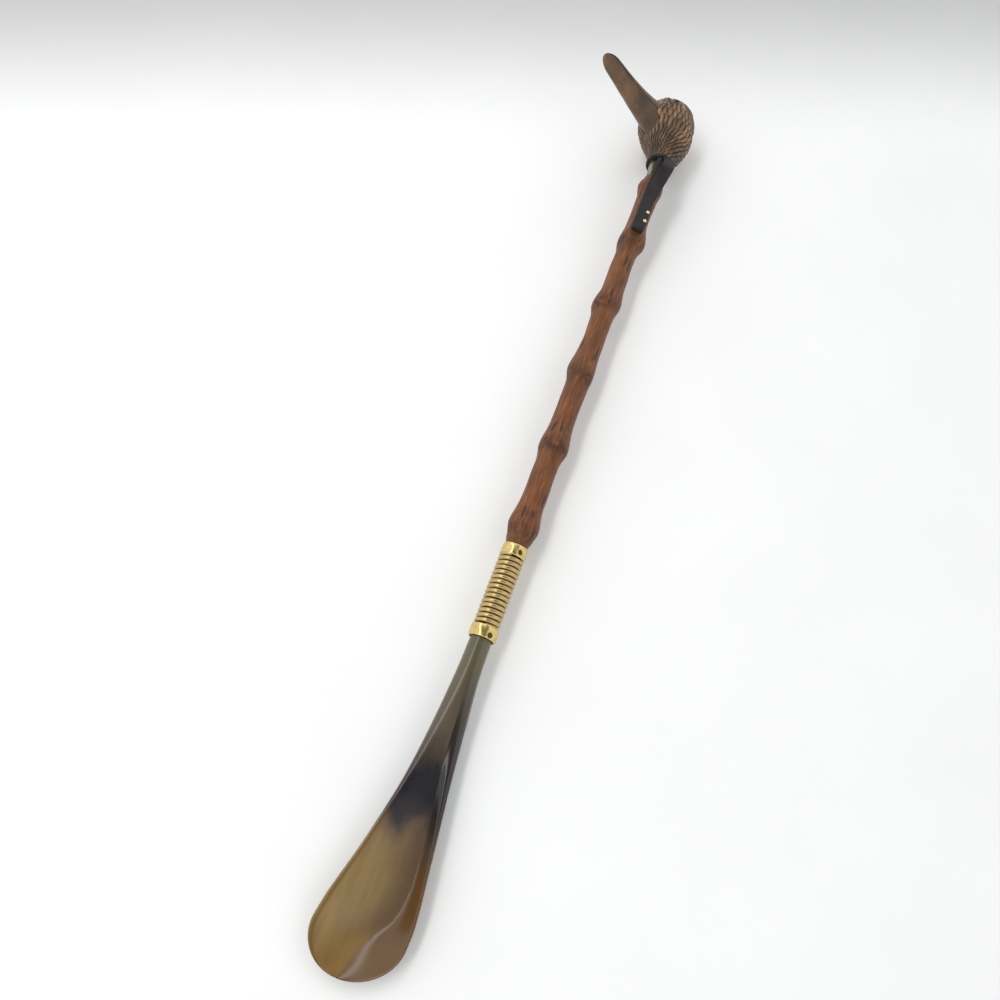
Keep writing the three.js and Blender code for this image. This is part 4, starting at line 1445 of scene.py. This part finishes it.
@dataclass
class Studio:
    """White paper under the shoehorn, a bright room with one long window lamp, and the camera above."""

    line: ShaftLine
    camera_x: float = 47.64
    camera_y: float = 76.13
    camera_z: float = 429.42
    yaw: float = -19.857
    pitch: float = 64.608
    lens: float = 27.036
    sensor: float = 36.0
    nearest: float = 0.01
    half_table: float = 3.0
    squares: int = 8
    room_strength: float = 1.2
    window_watts: float = 5.0
    window_place: tuple = (-0.45, -0.05, 1.05)
    window_aim: tuple = (0, -0.05, 0)
    window_size: tuple = (1.7, 0.22)
    window_tint: str = "ffffff"

    def table(self) -> None:
        """Lays the paper: a flat grid at the height that the shoehorn lies on."""
        corners = self.squares + 1
        side = np.linspace(-self.half_table, self.half_table, corners)
        x, y = np.meshgrid(side, side, indexing="ij")
        points = stack(x, y, float(CAD_BOX[0][2]) + 0 * x).reshape(-1, 3)
        i, j = np.meshgrid(np.arange(self.squares), np.arange(self.squares), indexing="ij")
        corner = (i * corners + j).reshape(-1, 1)
        faces = corner + np.array([[0, corners, corners + 1, 1]])
        mesh = bpy.data.meshes.new("paper")
        mesh.from_pydata(points.tolist(), [], faces.tolist())
        mesh.materials.append(MattPaper("matt_white_paper", roughness=0.9).build())
        paper = bpy.data.objects.new("paper", mesh)
        bpy.context.scene.collection.objects.link(paper)

    def lamp(self, name: str, place: tuple, aim: tuple, size: tuple, power: float, tint: str) -> None:
        """Adds a soft light.

        Args:
            name: the light's name.
            place: where it hangs, in metres.
            aim: the place that it faces.
            size: how long and how high it is, in metres.
            power: its watts.
            tint: its colour as sRGB hex.
        """
        light = bpy.data.lights.new(name, "AREA")
        light.shape, light.energy = "RECTANGLE", power
        light.size, light.size_y = size
        light.color = linear(tint)[:3]
        lamp = bpy.data.objects.new(name, light)
        lamp.location = place
        lamp.rotation_euler = (Vector(aim) - Vector(place)).to_track_quat("-Z", "Y").to_euler()
        bpy.context.scene.collection.objects.link(lamp)

    def light(self) -> None:
        """Sets the room's light, bright round the sides and dark overhead, and hangs the window lamp."""
        world = bpy.data.worlds.new("room")
        world.use_nodes = True
        tree = world.node_tree
        ways = add(tree, "ShaderNodeTexCoord").outputs["Generated"]
        height = add(tree, "ShaderNodeSeparateXYZ", {0: ways}).outputs["Z"]
        room = add(tree, "ShaderNodeValToRGB", {0: height}, stops=[
            (0.0, "e8eaec"), (0.4, "f6f7f8"), (0.66, "fdfdfe"), (0.86, "9a9da1"), (1.0, "54575b")])
        tree.links.new(room.outputs[0], tree.nodes["Background"].inputs["Color"])
        tree.nodes["Background"].inputs["Strength"].default_value = self.room_strength
        bpy.context.scene.world = world
        self.lamp("window", self.window_place, self.window_aim, self.window_size,
                  self.window_watts, self.window_tint)
        bpy.context.scene.view_settings.view_transform = "Standard"

    def camera(self) -> None:
        """Stands the camera over the blade's end, looking down the shaft towards the head."""
        yaw, pitch = math.radians(self.yaw), math.radians(self.pitch)
        ahead = Vector((math.sin(yaw) * math.cos(pitch), math.cos(yaw) * math.cos(pitch), -math.sin(pitch)))
        right = Vector((math.cos(yaw), -math.sin(yaw), 0))
        above = right.cross(ahead)
        tip_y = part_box("horn_blade")[0][1]
        beside, beyond = self.line.start[0] + self.camera_x * MM, tip_y + self.camera_y * MM
        eye = Vector((beside, beyond, self.camera_z * MM))
        data = bpy.data.cameras.new("camera")
        data.sensor_width, data.lens, data.clip_start = self.sensor, self.lens, self.nearest
        camera = bpy.data.objects.new("camera", data)
        turn = Matrix((right, above, -ahead)).transposed().to_4x4()
        camera.matrix_world = Matrix.Translation(eye) @ turn
        bpy.context.scene.collection.objects.link(camera)
        bpy.context.scene.camera = camera

    def build(self) -> None:
        """Sets up the camera, the paper and the lights."""
        self.camera()
        self.table()
        self.light()


def main() -> None:
    """Builds the studio and each sub-assembly in order."""
    logging.basicConfig(level=logging.INFO, format="%(name)s %(message)s")
    line = ShaftLine.from_frame()
    for part in (Studio(line), HornBlade(line), BrassJoint(line), CaneShaft(line), NeckCollar(line),
                 BirdHead(line), HangingStrap(line)):
        part.build()
        log.info("%s built", type(part).__name__)


if __name__ == "__main__":
    main()
